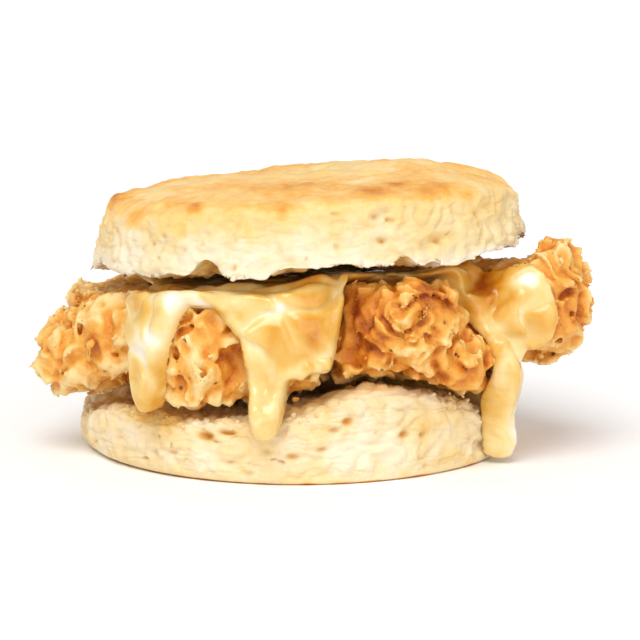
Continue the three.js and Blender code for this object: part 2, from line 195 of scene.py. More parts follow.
chickenRight = {
    "side": 1, "centre": (38, -4, 27), "blend": 5, "tone": 0.42,
    "lobes": [
        ((29, 8, 30), (25, 33, 17)),
        ((22, -31, 33), (13.5, 15.5, 14.5)),
        ((10, -24, 24), (12, 15, 11)),
        ((32.5, -25, 22.5), (11, 14, 9.5)),
        ((51.5, -7, 33.2), (14, 18, 14.8)),
        ((54, -9, 42.5), (6, 8, 6.5)),
    ],
    "rises": [(22.5, -40, 9, 2)],  # where it stands up to the torn face, past the level of the sauce
}

sauce = {
    "gap": 1.05, "overBiscuit": 1, "thickness": 1.6, "edgeRound": 2.4, "ceilingRound": 2.2,
    "bead": 0.9, "beadFrom": 0.2, "beadTo": -0.2,  # extra where a run ends low
    "centre": (0, 0, 28), "reach": 48, "shelfInner": 33, "shelfOuter": 41.5, "narrowest": 0.04,
    "drawnBackAngle": -66, "drawnBackHalfWidth": 17, "drawnBackBy": 9,
    "blend": 5, "fillBetween": 5, "fillOverLedge": 8, "floorGap": 0.3,
    "footAngle": -20, "footHalfWidth": 7, "footOut": 5, "footRound": 0.4, "footFrom": -0.3, "footTo": -0.43,
    "flareAngle": -16, "flareHalfWidth": 8, "flareBy": 6,  # the foot widens to one side, in degrees
    # angle, half width in degrees, height of its end, squareness, and how far its tip is rounded
    "runs": [
        (-112, 25, 37.2, 6, 0), (-128, 8.6, 14.4, 2.3, 1.5), (-102, 9, 30, 2.4, 0), (-94, 10.5, 21.5, 6, 0),
        (-84.4, 8.8, 22.5, 5, 0), (-97.3, 7.3, 10.4, 5, 3.5), (-28.5, 4, 33, 3, 0), (-29, 4.6, 23, 3, 0),
        (-29, 5, 1.2, 5, 0), (102, 19, 31, 4, 0), (93, 6, 15, 3, 3), (47, 9, 32, 3, 2), (137, 8, 27, 3, 2),
    ],
    "soak": 1.4,  # how far it sinks among the crags that it lies on
    "shellRound": 0.3, "cutPast": 0.5,  # between its two sides, and how far past its edge it is cut off
}


# Sum of cosines round the stack, each a share of the radius.
def outOfRound(waves, angle):
    return sum(share * np.cos(turns * angle - math.radians(start)) for turns, share, start in waves)


# Sum of bell-shaped swells over the ground plan.
def swellHeight(swells, x, y):
    return sum(rise * np.exp(-((x - a) ** 2 + (y - b) ** 2) / reach**2) for a, b, reach, rise in swells)


def lowerFace(x, y):
    return lowerHalf["height"] + swellHeight(lowerHalf["swells"], x, y)


def upperPlane(dx, dy):
    return upperHalf["underside"] + upperHalf["slopeX"] * dx + upperHalf["slopeY"] * dy


# The leaning plane of the upper half's torn face, with waves that grow towards its rim.
def upperFace(x, y):
    dx, dy = x - upperHalf["x"], y - upperHalf["y"]
    angle = np.arctan2(dy, dx)
    wave = sum(height * np.cos(turns * angle + phase) for turns, height, phase in upperHalf["rimWaves"])
    return upperPlane(dx, dy) + smoothStep(upperHalf["rimFrom"], upperHalf["rimTo"], np.hypot(dx, dy)) * wave


# Bell-shaped notches in the torn face, by the angle round it, that start some way out.
def notchRise(dx, dy):
    angle = np.degrees(np.arctan2(dy, dx))
    rise = sum(deep * bell(angle - middle, halfWidth) for middle, halfWidth, deep in upperHalf["notches"])
    return rise * smoothStep(upperHalf["notchFrom"], upperHalf["notchTo"], np.hypot(dx, dy))


# A drum: its wall and its swelling torn face meet in a round edge, and the base is cut off flat.
def lowerHalfField(p):
    x, y, z = p.T
    s = lowerHalf
    tuck = s["baseTuck"] * np.maximum(0, 1 - z / s["tuckHeight"]) ** 2
    wall = s["radius"] * (1 + outOfRound(s["out"], np.arctan2(y, x))) - tuck
    body = smoothMax(np.hypot(x, y) - wall, z - lowerFace(x, y), s["edgeRound"])
    return smoothMax(body, -z, lerp(s["baseRoundRight"], s["baseRoundLeft"], clamp01(-x / s["radius"])))


# A leaning drum that narrows upwards under a flat dome, cut by the torn face below.
def upperHalfField(p):
    x, y, z = p.T
    s = upperHalf
    dx, dy = x - s["x"], y - s["y"]
    out = np.hypot(dx, dy)
    up = z - upperPlane(dx, dy)
    radius = lerp(s["lowRadius"], s["highRadius"], clamp01(up / s["wall"]) ** 1.2)
    radius = radius * (1 + outOfRound(s["out"], np.arctan2(dy, dx)))
    dome = s["crown"] * np.maximum(0, 1 - (out / s["highRadius"]) ** 4) + swellHeight(s["swells"], x, y)
    lumps = s["lump"] * noise(x / s["lumpSize"], y / s["lumpSize"], np.full_like(x, 0.5), s["lumpSeed"])
    body = smoothMax(out - radius, up - s["wall"] - dome - lumps, s["edgeRound"])
    return smoothMax(body, upperFace(x, y) + notchRise(dx, dy) - z, s["rimRound"])


# Roughly the distance to an ellipsoid: the scaled radius less one, over the length of its slope.
def lobeField(p, middle, size):
    d = p - np.array(middle)
    size = np.array(size)
    near = np.linalg.norm(d / size, axis=1)
    slope = np.linalg.norm(d / size**2, axis=1)
    return np.where(slope < 1e-6, -size.min(), near * (near - 1) / np.maximum(slope, 1e-6))


# The torn face above, less the air; beyond the upper half's edge things may rise past it.
def ceiling(x, y):
    s = upperHalf
    out = np.hypot(x - s["x"], y - s["y"])
    return upperFace(x, y) - air + s["beyondRise"] * smoothStep(s["beyondFrom"], s["beyondTo"], out)


# Lobes run together by smooth minimums, pressed between the halves and against the other piece.
def chickenField(p, piece):
    lobes = None
    for middle, size in piece["lobes"]:
        lobe = lobeField(p, middle, size)
        lobes = lobe if lobes is None else smoothMin(lobes, lobe, piece["blend"])
    x, y, z = p.T
    fromSeam = piece["side"] * (x - seam["x"] - seam["lean"] * y) - seam["gap"] / 2
    top = ceiling(x, y) - sauce["thickness"] - sauce["gap"] + swellHeight(piece["rises"], x, y)
    pressed = smoothMax(lobes, z - top, press["above"])
    pressed = smoothMax(pressed, lowerFace(x, y) + air - z, press["below"])
    return smoothMax(pressed, -fromSeam, seam["round"])


# What the sauce lies on: both pieces and the lower half, with the dips between them filled.
def beddingField(p):
    meat = smoothMin(chickenField(p, chickenLeft), chickenField(p, chickenRight), sauce["fillBetween"])
    return smoothMin(meat, lowerHalfField(p) - sauce["overBiscuit"], sauce["fillOverLedge"])


# The skin of a block of cells, its sides shared: gives places from -1 to 1 across and 0 to 1 up, and quads.
def blockSkin(across, rows):
    i, j = np.meshgrid(np.arange(across), np.arange(across), indexing="ij")
    i, j = i.ravel(), j.ravel()
    corners = [(0, 0), (1, 0), (1, 1), (0, 1)]

    def key(a, b, c):
        return (a * (across + 1) + b) * (rows + 1) + c

    top = np.stack([key(i + a, j + b, rows) for a, b in corners], 1)
    base = np.stack([key(i + a, j + b, 0) for a, b in corners[::-1]], 1)
    run = np.arange(across)
    still = np.zeros(across, int)
    roundA = np.concatenate([run, still + across, across - run, still])
    roundB = np.concatenate([still, run, still + across, across - run])
    side = []
    for c in range(rows):
        nextA, nextB = np.roll(roundA, -1), np.roll(roundB, -1)
        side.append(np.stack([key(roundA, roundB, c), key(nextA, nextB, c),
                              key(nextA, nextB, c + 1), key(roundA, roundB, c + 1)], 1))
    keys, quads = np.unique(np.concatenate([top, base, *side]), return_inverse=True)
    up = keys % (rows + 1) / rows
    b = keys // (rows + 1) % (across + 1)
    a = keys // (rows + 1) // (across + 1)
    return 2 * a / across - 1, 2 * b / across - 1, up, quads.reshape(-1, 4)


# Rays from a drum's middle to its skin: the square ends are turned into discs ring by ring.
def drumRays(drum):
    u, v, up, quads = blockSkin(round(drum["across"] * detail), round(drum["rows"] * detail))
    ring = np.maximum(np.abs(u), np.abs(v))
    wide = np.abs(u) >= np.abs(v)
    safeU, safeV = np.where(u == 0, 1, u), np.where(v == 0, 1, v)
    angle = np.where(wide, math.pi / 4 * v / safeU, math.pi / 2 - math.pi / 4 * u / safeV)
    signed = np.where(wide, np.sign(u), np.sign(v)) * ring * drum["radius"]
    height = lerp(-drum["below"], drum["above"], up)
    rays = np.stack([signed * np.cos(angle), signed * np.sin(angle), height], 1)
    return rays / np.linalg.norm(rays, axis=1)[:, None], quads


# How far each ray goes before it first passes a level of the field: strides of seven tenths of the
# depth, and then the last stride halved again and again.
def rayLengths(field, centre, rays, level=0):
    shortest, shareOfDepth, halvings = 0.4, 0.7, 14
    far = np.zeros(len(rays))
    stride = np.zeros(len(rays))
    going = np.arange(len(rays))
    while len(going):
        depth = level - field(centre + rays[going] * far[going, None])
        going, depth = going[depth > 0], depth[depth > 0]
        stride[going] = np.maximum(shortest, shareOfDepth * depth)
        far[going] += stride[going]
    near = far - stride
    for halving in range(halvings):
        middle = (near + far) / 2
        inside = level - field(centre + rays * middle[:, None]) > 0
        near = np.where(inside, middle, near)
        far = np.where(inside, far, middle)
    return (near + far) / 2


probe = 0.05  # to each side of a point, where the slope of a field is taken


# The direction in which the field rises fastest, from the differences across each point.
def fieldNormals(field, p):
    slope = np.stack([field(p + step) - field(p - step) for step in np.eye(3) * probe], 1)
    return slope / np.linalg.norm(slope, axis=1)[:, None]


# Skin of a field seen from its centre: places, outward directions and quads.
def fieldSkin(field, centre, drum):
    centre = np.array(centre, float)
    rays, quads = drumRays(drum)
    skin = centre + rays * rayLengths(field, centre, rays)[:, None]
    return skin, fieldNormals(field, skin), quads


# Values evened out over a mesh: each goes half way to the mean of its neighbours, round after round.
def evened(values, quads, rounds):
    here, after = quads.ravel(), np.roll(quads, -1, 1).ravel()
    neighbours = np.bincount(here, minlength=len(values))
    for step in range(max(1, round(rounds * detail**2))):
        values = (values + np.bincount(here, values[after], len(values)) / neighbours) / 2
    return values


# The skin of a field as a net: one vertex in each cell that the skin passes, at the mean of the places where
# it cuts the cell's edges, and one quad round each cut edge. Blocks of cells far from the skin are left out.
def netSkin(field, low, high, cell, block, spread):
    low = np.array(low, float)
    blocks = np.ceil((np.array(high) - low) / (cell * block)).astype(int)
    middles = low + (np.argwhere(np.ones(blocks)) + 0.5) * cell * block
    coarse = field(middles).reshape(blocks)
    values = np.sign(coarse) * 9
    near = np.abs(coarse) < spread * cell * block
    for axis in range(3):
        values, near = np.repeat(values, block, axis), np.repeat(near, block, axis)
    values[near] = field(low + np.argwhere(near) * cell)
    inside = values < 0

    # the cells that are cut, numbered, and their vertices
    corners = [(a, b, c) for a in (0, 1) for b in (0, 1) for c in (0, 1)]
    size = np.array(values.shape) - 1
    count = sum(inside[a:a + size[0], b:b + size[1], c:c + size[2]].astype(np.int8) for a, b, c in corners)
    cells = np.argwhere((count > 0) & (count < 8))
    number = np.full(size, -1)
    number[tuple(cells.T)] = np.arange(len(cells))
    total, cuts = np.zeros((len(cells), 3)), np.zeros(len(cells))
    for a in corners:
        for axis in range(3):
            if a[axis]:
                continue
            b = tuple(v + (i == axis) for i, v in enumerate(a))
            first, second = (values[tuple((cells + corner).T)] for corner in (a, b))
            cut = (first < 0) != (second < 0)
            share = np.where(cut, first / np.where(cut, first - second, 1), 0)
            place = np.array(a) + share[:, None] * (np.array(b) - np.array(a))
            total += place * cut[:, None]
            cuts += cut
    places = low + (cells + total / cuts[:, None]) * cell

    quads = []
    for axis in range(3):
        a, b = (axis + 1) % 3, (axis + 2) % 3
        first = np.take(inside, np.arange(size[axis]), axis)
        second = np.take(inside, np.arange(size[axis]) + 1, axis)
        edges = np.argwhere(first != second)
        alongA, alongB = edges[:, a], edges[:, b]
        edges = edges[(alongA > 0) & (alongB > 0) & (alongA < size[a]) & (alongB < size[b])]
        around = []
        for backA, backB in ((1, 1), (0, 1), (0, 0), (1, 0)):
            cornerCell = edges.copy()
            cornerCell[:, a] -= backA
            cornerCell[:, b] -= backB
            around.append(number[tuple(cornerCell.T)])
        around = np.stack(around, 1)
        outward = inside[tuple(edges.T)]
        quads.append(np.where(outward[:, None], around, around[:, ::-1]))
    return places, np.concatenate(quads)


# A mesh from places in millimetres and quads, with one number a vertex for each attribute.
def buildPiece(name, places, quads, attributes, material, node):
    mesh = bpy.data.meshes.new(name)
    mesh.vertices.add(len(places))
    mesh.vertices.foreach_set("co", (places * metre).astype(np.float32).ravel())
    mesh.loops.add(quads.size)
    mesh.loops.foreach_set("vertex_index", quads.astype(np.int32).ravel())
    mesh.polygons.add(len(quads))
    mesh.polygons.foreach_set("loop_start", np.arange(0, quads.size, 4, dtype=np.int32))
    mesh.update(calc_edges=True)
    mesh.shade_smooth()
    for key, values in attributes.items():
        layer = mesh.attributes.new(key, "FLOAT", "POINT")
        layer.data.foreach_set("value", np.asarray(values, np.float32))
    mesh.materials.append(material)
    piece = bpy.data.objects.new(name, mesh)
    bpy.context.scene.collection.objects.link(piece)
    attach(piece, "root")
    if node:
        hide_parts(node)
    print(name, len(quads), "faces")


# sRGB hex to linear RGBA.
def linear(code):
    parts = [int(code[i:i + 2], 16) / 255 for i in (1, 3, 5)]
    return [c / 12.92 if c <= 0.04045 else ((c + 0.055) / 1.055) ** 2.4 for c in parts] + [1]


# Pattern scale for features of a size in millimetres, on coordinates in metres.
def perMetre(size):
    return 1 / (size * metre)


# Adds one node: settings go to its properties or inputs, stops to its colour ramp, links to its inputs.
def addNode(owner, kind, settings=None, links=None, stops=None):
    node = owner.node_tree.nodes.new(kind)
    for key, value in (settings or {}).items():
        if isinstance(key, str) and hasattr(node, key):
            setattr(node, key, value)
        else:
            node.inputs[key].default_value = value
    for key, source in (links or {}).items():
        owner.node_tree.links.new(source, node.inputs[key])
    if stops:
        ramp = node.color_ramp.elements
        while len(ramp) < len(stops):
            ramp.new(0.5)
        for element, (place, code) in zip(ramp, stops):
            element.position = place
            element.color = linear(code)
    return node


def newMaterial(name):
    material = bpy.data.materials.new(name)
    material.use_nodes = True
    material.node_tree.nodes.clear()
    return material


# The shader and its output, with the colour, roughness and bump height it takes from other nodes.
def finishMaterial(material, settings, colour, roughness, height, bumpDepth):
    bump = addNode(material, "ShaderNodeBump", {"Strength": 1, "Distance": bumpDepth * metre},
                   {"Height": height})
    shader = addNode(material, "ShaderNodeBsdfPrincipled", settings,
                     {"Base Color": colour, "Roughness": roughness, "Normal": bump.outputs["Normal"]})
    addNode(material, "ShaderNodeOutputMaterial", None, {"Surface": shader.outputs["BSDF"]})
    return material


# Baked buttermilk dough, risen and torn: a matt, airy, light-scattering crumb with butter-yellow patches,
# under an oven-browned skin that is a little glossy from butter.
biscuitLook = {
    # the soaked colour serves for sauce soaked in and for painted shade on torn crumb and under the sauce's
    # left arm
    "crumbPale": "#f3e3c6", "crumbWarm": "#edd4a0", "crumbButter": "#eac172", "crumbSoakedAndShade": "#c4802f",
    # pore: the darker gold-brown of pits and holes, painted shade in the hollows
    "pore": "#d39c4a",
    "crustPale": "#fbd288", "crustGold": "#f4b458", "crustBrown": "#d5832c", "crustDark": "#9c541a",
    "mottle": 7, "patch": 2.6, "grain": 0.7,
    "roughCrumb": 0.85, "roughCrust": 0.5, "scatter": 0.12, "bump": 0.22,
}


def bakedBiscuit():
    look = biscuitLook
    m = newMaterial("bakedButtermilkBiscuit")
    place = addNode(m, "ShaderNodeTexCoord").outputs["Object"]
    mottle, patch, grain = (
        addNode(m, "ShaderNodeTexNoise",
                {"Scale": perMetre(look[size]), "Detail": octaves, "Roughness": rough},
                {"Vector": place}).outputs["Fac"]
        for size, octaves, rough in (("mottle", 4, 0.6), ("patch", 5, 0.65), ("grain", 3, 0.6)))
    bake, pore, butterAndShade = (addNode(m, "ShaderNodeAttribute", {"attribute_name": key}).outputs["Fac"]
                          for key in ("bake", "pore", "butterAndShade"))

    # this attribute holds butter patches, soaked sauce, and painted shade on the torn faces and under the
    # sauce's left arm
    warmth = addNode(m, "ShaderNodeMath", {"operation": "MULTIPLY_ADD", 1: 0.5}, {0: patch, 2: butterAndShade})
    crumb = addNode(m, "ShaderNodeValToRGB", None, {"Fac": warmth.outputs[0]},
                    [(0.18, look["crumbPale"]), (0.42, look["crumbWarm"]), (0.68, look["crumbButter"]),
                     (1, look["crumbSoakedAndShade"])])
    # pores and pits painted darker: painted shade in the hollows
    pitted = addNode(m, "ShaderNodeMix", {"data_type": "RGBA", 7: linear(look["pore"])},
                     {0: pore, 6: crumb.outputs["Color"]})
    # browning comes on in patches, not as an even band
    uneven = addNode(m, "ShaderNodeMath", {"operation": "SUBTRACT", 1: 0.5}, {0: mottle})
    uneven = addNode(m, "ShaderNodeMath", {"operation": "MULTIPLY_ADD", 1: 0.7},
                     {0: uneven.outputs[0], 2: bake})
    fine = addNode(m, "ShaderNodeMath", {"operation": "SUBTRACT", 1: 0.5}, {0: patch})
    browned = addNode(m, "ShaderNodeMath", {"operation": "MULTIPLY_ADD", 1: 0.5},
                      {0: fine.outputs[0], 2: uneven.outputs[0]})
    crust = addNode(m, "ShaderNodeValToRGB", None, {"Fac": browned.outputs[0]},
                    [(0.22, look["crustPale"]), (0.5, look["crustGold"]), (0.8, look["crustBrown"]),
                     (1, look["crustDark"])])
    cover = addNode(m, "ShaderNodeMapRange",
                    {"interpolation_type": "SMOOTHSTEP", "From Min": 0.05, "From Max": 0.35},
                    {"Value": browned.outputs[0]})
    colour = addNode(m, "ShaderNodeMix", {"data_type": "RGBA"},
                     {0: cover.outputs[0], 6: pitted.outputs[2], 7: crust.outputs["Color"]})
    rough = addNode(m, "ShaderNodeMapRange", {"To Min": look["roughCrumb"], "To Max": look["roughCrust"]},
                    {"Value": cover.outputs[0]})
    height = addNode(m, "ShaderNodeMath", {"operation": "MULTIPLY_ADD", 1: 0.5}, {0: grain, 2: patch})
    settings = {"IOR": 1.45, "Specular IOR Level": 0.35, "Subsurface Weight": look["scatter"],
                "Subsurface Radius": (1, 0.6, 0.3), "Subsurface Scale": 2.5 * metre}
    return finishMaterial(m, settings, colour.outputs[2], rough.outputs[0], height.outputs[0], look["bump"])


# Flour coating fried in oil: hard, craggy and oily. Crests are thin and pale gold, slopes amber,
# and the creases red-brown, which is partly the coating's colour and partly painted shade. A few grains of
# pepper show in it.
coatingLook = {
    # brown and crease colour the hollows: partly the coating's own colour, partly painted shade
    "crest": "#f9d894", "gold": "#f1b04c", "amber": "#dd8727", "brown": "#a94f15", "crease": "#6e2a08",
    "pepper": "#4a3a22", "patch": 9, "fleck": 1.6, "grain": 0.5, "pepperSpacing": 5.5,
    "roughLow": 0.3, "roughHigh": 0.6, "bump": 0.4,
}


def friedCoating():
    look = coatingLook
    m = newMaterial("friedFlourCoating")
    place = addNode(m, "ShaderNodeTexCoord").outputs["Object"]
    patch, fleck, grain = (
        addNode(m, "ShaderNodeTexNoise", {"Scale": perMetre(look[size]), **settings}, {"Vector": place})
        for size, settings in (("patch", {"Detail": 3}), ("fleck", {"Detail": 4, "Roughness": 0.65}),
                               ("grain", {"Detail": 3})))
    depth = addNode(m, "ShaderNodeAttribute", {"attribute_name": "depth"}).outputs["Fac"]
    # the depth, swayed by the broad patches and then by the flecks
    tone = depth
    for pattern in (patch, fleck):
        sway = addNode(m, "ShaderNodeMath", {"operation": "SUBTRACT", 1: 0.5}, {0: pattern.outputs["Fac"]})
        tone = addNode(m, "ShaderNodeMath", {"operation": "MULTIPLY_ADD", 1: 0.45},
                       {0: sway.outputs[0], 2: tone}).outputs[0]
    fried = addNode(m, "ShaderNodeValToRGB", None, {"Fac": tone},
                    [(0.08, look["crest"]), (0.32, look["gold"]), (0.56, look["amber"]),
                     (0.78, look["brown"]), (1, look["crease"])])
    specks = addNode(m, "ShaderNodeTexVoronoi", {"Scale": perMetre(look["pepperSpacing"])}, {"Vector": place})
    speck = addNode(m, "ShaderNodeMapRange",
                    {"From Min": 0.06, "From Max": 0.12, "To Min": 0.85, "To Max": 0},
                    {"Value": specks.outputs["Distance"]})
    colour = addNode(m, "ShaderNodeMix", {"data_type": "RGBA", 7: linear(look["pepper"])},
                     {0: speck.outputs[0], 6: fried.outputs["Color"]})
    rough = addNode(m, "ShaderNodeMapRange", {"To Min": look["roughLow"], "To Max": look["roughHigh"]},
                    {"Value": fleck.outputs["Fac"]})
    height = addNode(m, "ShaderNodeMath", {"operation": "MULTIPLY_ADD", 1: 0.45},
                     {0: grain.outputs["Fac"], 2: fleck.outputs["Fac"]})
    settings = {"IOR": 1.47, "Specular IOR Level": 0.45, "Subsurface Weight": 0.12,
                "Subsurface Radius": (1, 0.45, 0.15), "Subsurface Scale": 1.6 * metre}
    return finishMaterial(m, settings, colour.outputs[2], rough.outputs[0], height.outputs[0], look["bump"])


# Honey and melted butter stirred to a cream: a thick wet liquid that scatters light, pale where it
# stands thick and honey gold where it runs thin, with a mirror-like skin.
sauceLook = {
    # foam, the palest colour, is mostly reached where the spots paint highlights
    "caramel": "#a54d0e", "thin": "#d9921f", "honey": "#e6b95c", "cream": "#f2d898", "foamAndHighlight": "#fdf1e2",
    "fleck": "#8f7a2a", "cloud": 6, "drift": 0.6, "fleckSpacing": 17,
    "rough": 0.13, "scatter": 0.3, "bump": 0.3,
}


def honeyButter():
    look = sauceLook
    m = newMaterial("honeyButterCream")
    place = addNode(m, "ShaderNodeTexCoord").outputs["Object"]
    cloud = addNode(m, "ShaderNodeTexNoise",
                    {"Scale": perMetre(look["cloud"]), "Detail": 3, "Distortion": 0.6}, {"Vector": place})
    body = addNode(m, "ShaderNodeAttribute", {"attribute_name": "body"}).outputs["Fac"]
    drift = addNode(m, "ShaderNodeMath", {"operation": "SUBTRACT", 1: 0.5}, {0: cloud.outputs["Fac"]})
    tone = addNode(m, "ShaderNodeMath", {"operation": "MULTIPLY_ADD", 1: look["drift"]},
                   {0: drift.outputs[0], 2: body})
    cream = addNode(m, "ShaderNodeValToRGB", None, {"Fac": tone.outputs[0]},
                    [(0, look["caramel"]), (0.25, look["thin"]), (0.5, look["honey"]), (0.75, look["cream"]),
                     (1, look["foamAndHighlight"])])
    specks = addNode(m, "ShaderNodeTexVoronoi", {"Scale": perMetre(look["fleckSpacing"])}, {"Vector": place})
    speck = addNode(m, "ShaderNodeMapRange", {"From Min": 0.02, "From Max": 0.04, "To Min": 0.6, "To Max": 0},
                    {"Value": specks.outputs["Distance"]})
    colour = addNode(m, "ShaderNodeMix", {"data_type": "RGBA", 7: linear(look["fleck"])},
                     {0: speck.outputs[0], 6: cream.outputs["Color"]})
    rough = addNode(m, "ShaderNodeMapRange", {"To Min": look["rough"], "To Max": look["rough"] + 0.12},
                    {"Value": cloud.outputs["Fac"]})
    settings = {"IOR": 1.44, "Specular IOR Level": 0.5, "Coat Weight": 0.4, "Coat Roughness": 0.05,
                "Subsurface Weight": look["scatter"], "Subsurface Radius": (1, 0.8, 0.35),
                "Subsurface Scale": 2 * metre}
    return finishMaterial(m, settings, colour.outputs[2], rough.outputs[0], cloud.outputs["Fac"],
                          look["bump"])


crumb = {
    # broad swells and hollows, as in the plain solid
    "depth": 1, "size": 7, "flatten": 0.6, "pit": 1.2, "pitSize": 8, "pitFrom": 0.4, "pitTo": 0.75,
    "puff": 0.65, "puffSize": 4.6, "fluff": 0.3, "fluffSize": 2, "grain": 0.14, "grainSize": 0.95,
    "layer": 0.3, "layerSize": 10, "layerHeight": 1.5,  # flaky layers in the wall
    "pore": 0.8, "poreSpacing": 3.2, "poreShare": 0.36, "poreRadii": (0.1, 0.3),  # radii in spacings
    "hole": 1.5, "holeSpacing": 9, "holeShare": 0.4, "holeRadii": (0.1, 0.22), "holeFlatten": 1.7,
    "tear": 1.2, "tearSize": 3.2,  # ragged crumb of the torn faces
    # how far, and over what size, each pattern is bent
    "bend": (0.9, 3), "puffBend": (1.5, 6), "tearBend": (1.2, 2.5),
    "puffHidden": 0.5, "layerHidden": 0.6, "poreHidden": 0.85,  # share that a crust takes away
    "proud": 0.45,
}


# Depth below the skin of broad swells and of the hollows among them, the same as in the plain solid.
def crumbDepth(p):
    c = crumb
    swell = noise(p[:, 0] / c["size"], p[:, 1] / c["size"], p[:, 2] / (c["flatten"] * c["size"]), 21)
    pit = smoothStep(c["pitFrom"], c["pitTo"], noiseAt(p, c["pitSize"], 22))
    return c["depth"] * clamp01(0.5 + 0.5 * swell) + c["pit"] * pit


# Round dents, one in some of the cells of a pattern: one less the square of the distance over a radius.
def dents(p, spacing, share, small, large, seed):
    nearest, _, pick, wide = cellsAt(p, spacing, seed)
    radius = np.where(pick < share, lerp(small, large, wide), 1e-3)
    return clamp01(1 - (nearest / radius) ** 2)


# Fine relief: soft pillows parted by creases where a noise is nought, fluff, grain, flat ridges along
# the layers, pores and a few larger holes. Returns the depth and how far inside a pore each point is.
def fineCrumb(p, crust, torn):
    c = crumb
    bent = warped(p, *c["bend"], 31)
    pillow = np.abs(noiseAt(warped(p, *c["puffBend"], 24), c["puffSize"], 27))
    puff = c["puff"] * (1 - smoothStep(0, 0.5, pillow))
    fluff = c["fluff"] * clamp01(0.5 - 0.8 * noiseAt(bent, c["fluffSize"], 34))
    grain = c["grain"] * (0.5 + 0.5 * noiseAt(p, c["grainSize"], 35))
    flake = bent / [c["layerSize"], c["layerSize"], c["layerHeight"]]
    layer = c["layer"] * (1 - clamp01(3 * np.abs(noise(*flake.T, 36))))
    pore = dents(bent, c["poreSpacing"], c["poreShare"], *c["poreRadii"], 37)
    hole = dents(bent * [1, 1, c["holeFlatten"]], c["holeSpacing"], c["holeShare"], *c["holeRadii"], 38)
    near, gap, _, _ = cellsAt(warped(p, *c["tearBend"], 41), c["tearSize"], 44)
    tear = c["tear"] * clamp01(near * 1.1 - 0.1) + 0.3 * c["tear"] * (1 - clamp01(3 * gap))
    wallDepth = puff * (1 - c["puffHidden"] * crust)
    wallDepth = wallDepth + (fluff + layer) * (1 - c["layerHidden"] * crust) + grain
    wallDepth += (c["pore"] * pore + c["hole"] * hole) * (1 - c["poreHidden"] * crust)
    return lerp(wallDepth, tear + grain, torn), clamp01(pore + hole) * (1 - crust)


# Middle, half widths and depth of the larger holes in the front of the wall.
lowerPits = [
    ((-19.2, -42.7, 10), (1.9, 3, 1.5), 2.4), ((-14.4, -44.5, 11.5), (2.1, 3, 1.1), 2),
    ((-17, -43.5, 8.6), (1, 2, 0.6), 1), ((-26.3, -38.7, 5.4), (1.3, 2, 0.9), 1.2),
    ((-30.2, -35.8, 4.8), (1, 2, 0.7), 1), ((-30.8, -35.2, 8.7), (1.3, 2, 0.9), 1.1),
    ((-38.5, -26.6, 6.3), (1.5, 3, 1.8), 1.1), ((-13.8, -44.7, 4.3), (1.4, 2, 0.8), 1.1),
    ((-6.3, -46.4, 7.2), (1.2, 2, 0.8), 1), ((-0.7, -46.8, 6), (2.2, 2, 0.9), 1.7),
    ((5.5, -46.5, 7.6), (1.7, 2, 0.8), 1.5), ((8, -46.1, 11.6), (1.6, 2, 0.9), 1.4),
    ((11.1, -45.5, 13.3), (1.4, 2.5, 1.3), 2), ((23, -40.8, 9.6), (1.6, 2.4, 1.1), 1.6),
    ((27.1, -38.2, 9.1), (1.4, 2, 0.8), 1.3), ((22.4, -41.1, 14.8), (2.2, 3, 0.8), 0.9),
    ((38.1, -27.2, 6.4), (1.4, 2, 0.9), 1), ((16, -43.5, 8.2), (2.2, 2.4, 0.7), 1),
]

lowerLook = {
    "drum": {"across": 150, "rows": 60, "radius": 44, "below": 6, "above": 7}, "centre": (0, 0, 6),
    # places where sauce and fat have soaked in, the first of them a painted shadow under the sauce's left
    # arm: middle, half widths, amount
    "soakedAndShadow": [
        ((-34, -33, 13), (9, 9, 2.2), 0.55), ((-16, -44, 15.5), (12, 6, 1.6), 0.4),
        ((-6, -46, 9), (4, 4, 4), 0.2), ((-24, -41, 9), (8, 6, 5), 0.16), ((36, -30, 10), (5, 6, 5), 0.2),
        ((30, -37, 12), (6, 6, 3.5), 0.22), ((24, -40, 12), (6, 6, 4), 0.12), ((8, -46, 12), (5, 4, 3), 0.12),
    ],
}


def makeLowerHalf(material):
    skin, normal, quads = fieldSkin(lowerHalfField, lowerLook["centre"], lowerLook["drum"])
    x, y, z = skin.T
    torn = smoothStep(0.35, 0.8, normal[:, 2])
    base = smoothStep(-0.2, -0.8, normal[:, 2])
    fine, pore = fineCrumb(skin, 0.8 * base, torn)
    pit = spotSum(skin, lowerPits)
    depth = crumbDepth(skin) * smoothStep(0.5, 3, z) + (fine + pit - crumb["proud"]) * smoothStep(0.3, 2, z)
    places = skin - normal * depth[:, None]
    places[:, 2] = np.maximum(places[:, 2], 0)
    # the base is browned by the tray, with a buttery line just above it
    bake = 0.75 * smoothStep(0.6, 0.1, z + 0.3 * noiseAt(skin, 4, 51))
    butterAndShade = 0.08 * bell(z - 1.6, 1.3) + 0.2 * noiseAt(skin, 14, 52) + 0.12 * noiseAt(skin, 5, 53) + 0.04
    # the listed spots, one of them a painted shadow, and further in on the torn face a darkening that is
    # partly sauce soaked in and partly painted shade under the chicken
    butterAndShade += spotSum(skin, lowerLook["soakedAndShadow"]) + 0.2 * torn * smoothStep(45, 40, np.hypot(x, y))
    # pores and pits painted darker: painted shade
    pore = clamp01(0.5 * pore + smoothStep(0.5, 1.6, pit))
    values = {"bake": bake, "pore": pore, "butterAndShade": butterAndShade}
    buildPiece("biscuitLower", places, quads, values, material, "biscuit_lower")
    chosen = np.flatnonzero((torn > 0.2) & (np.hypot(x, y) > 40))
    return {"places": places, "normal": normal, "values": values, "chosen": chosen}


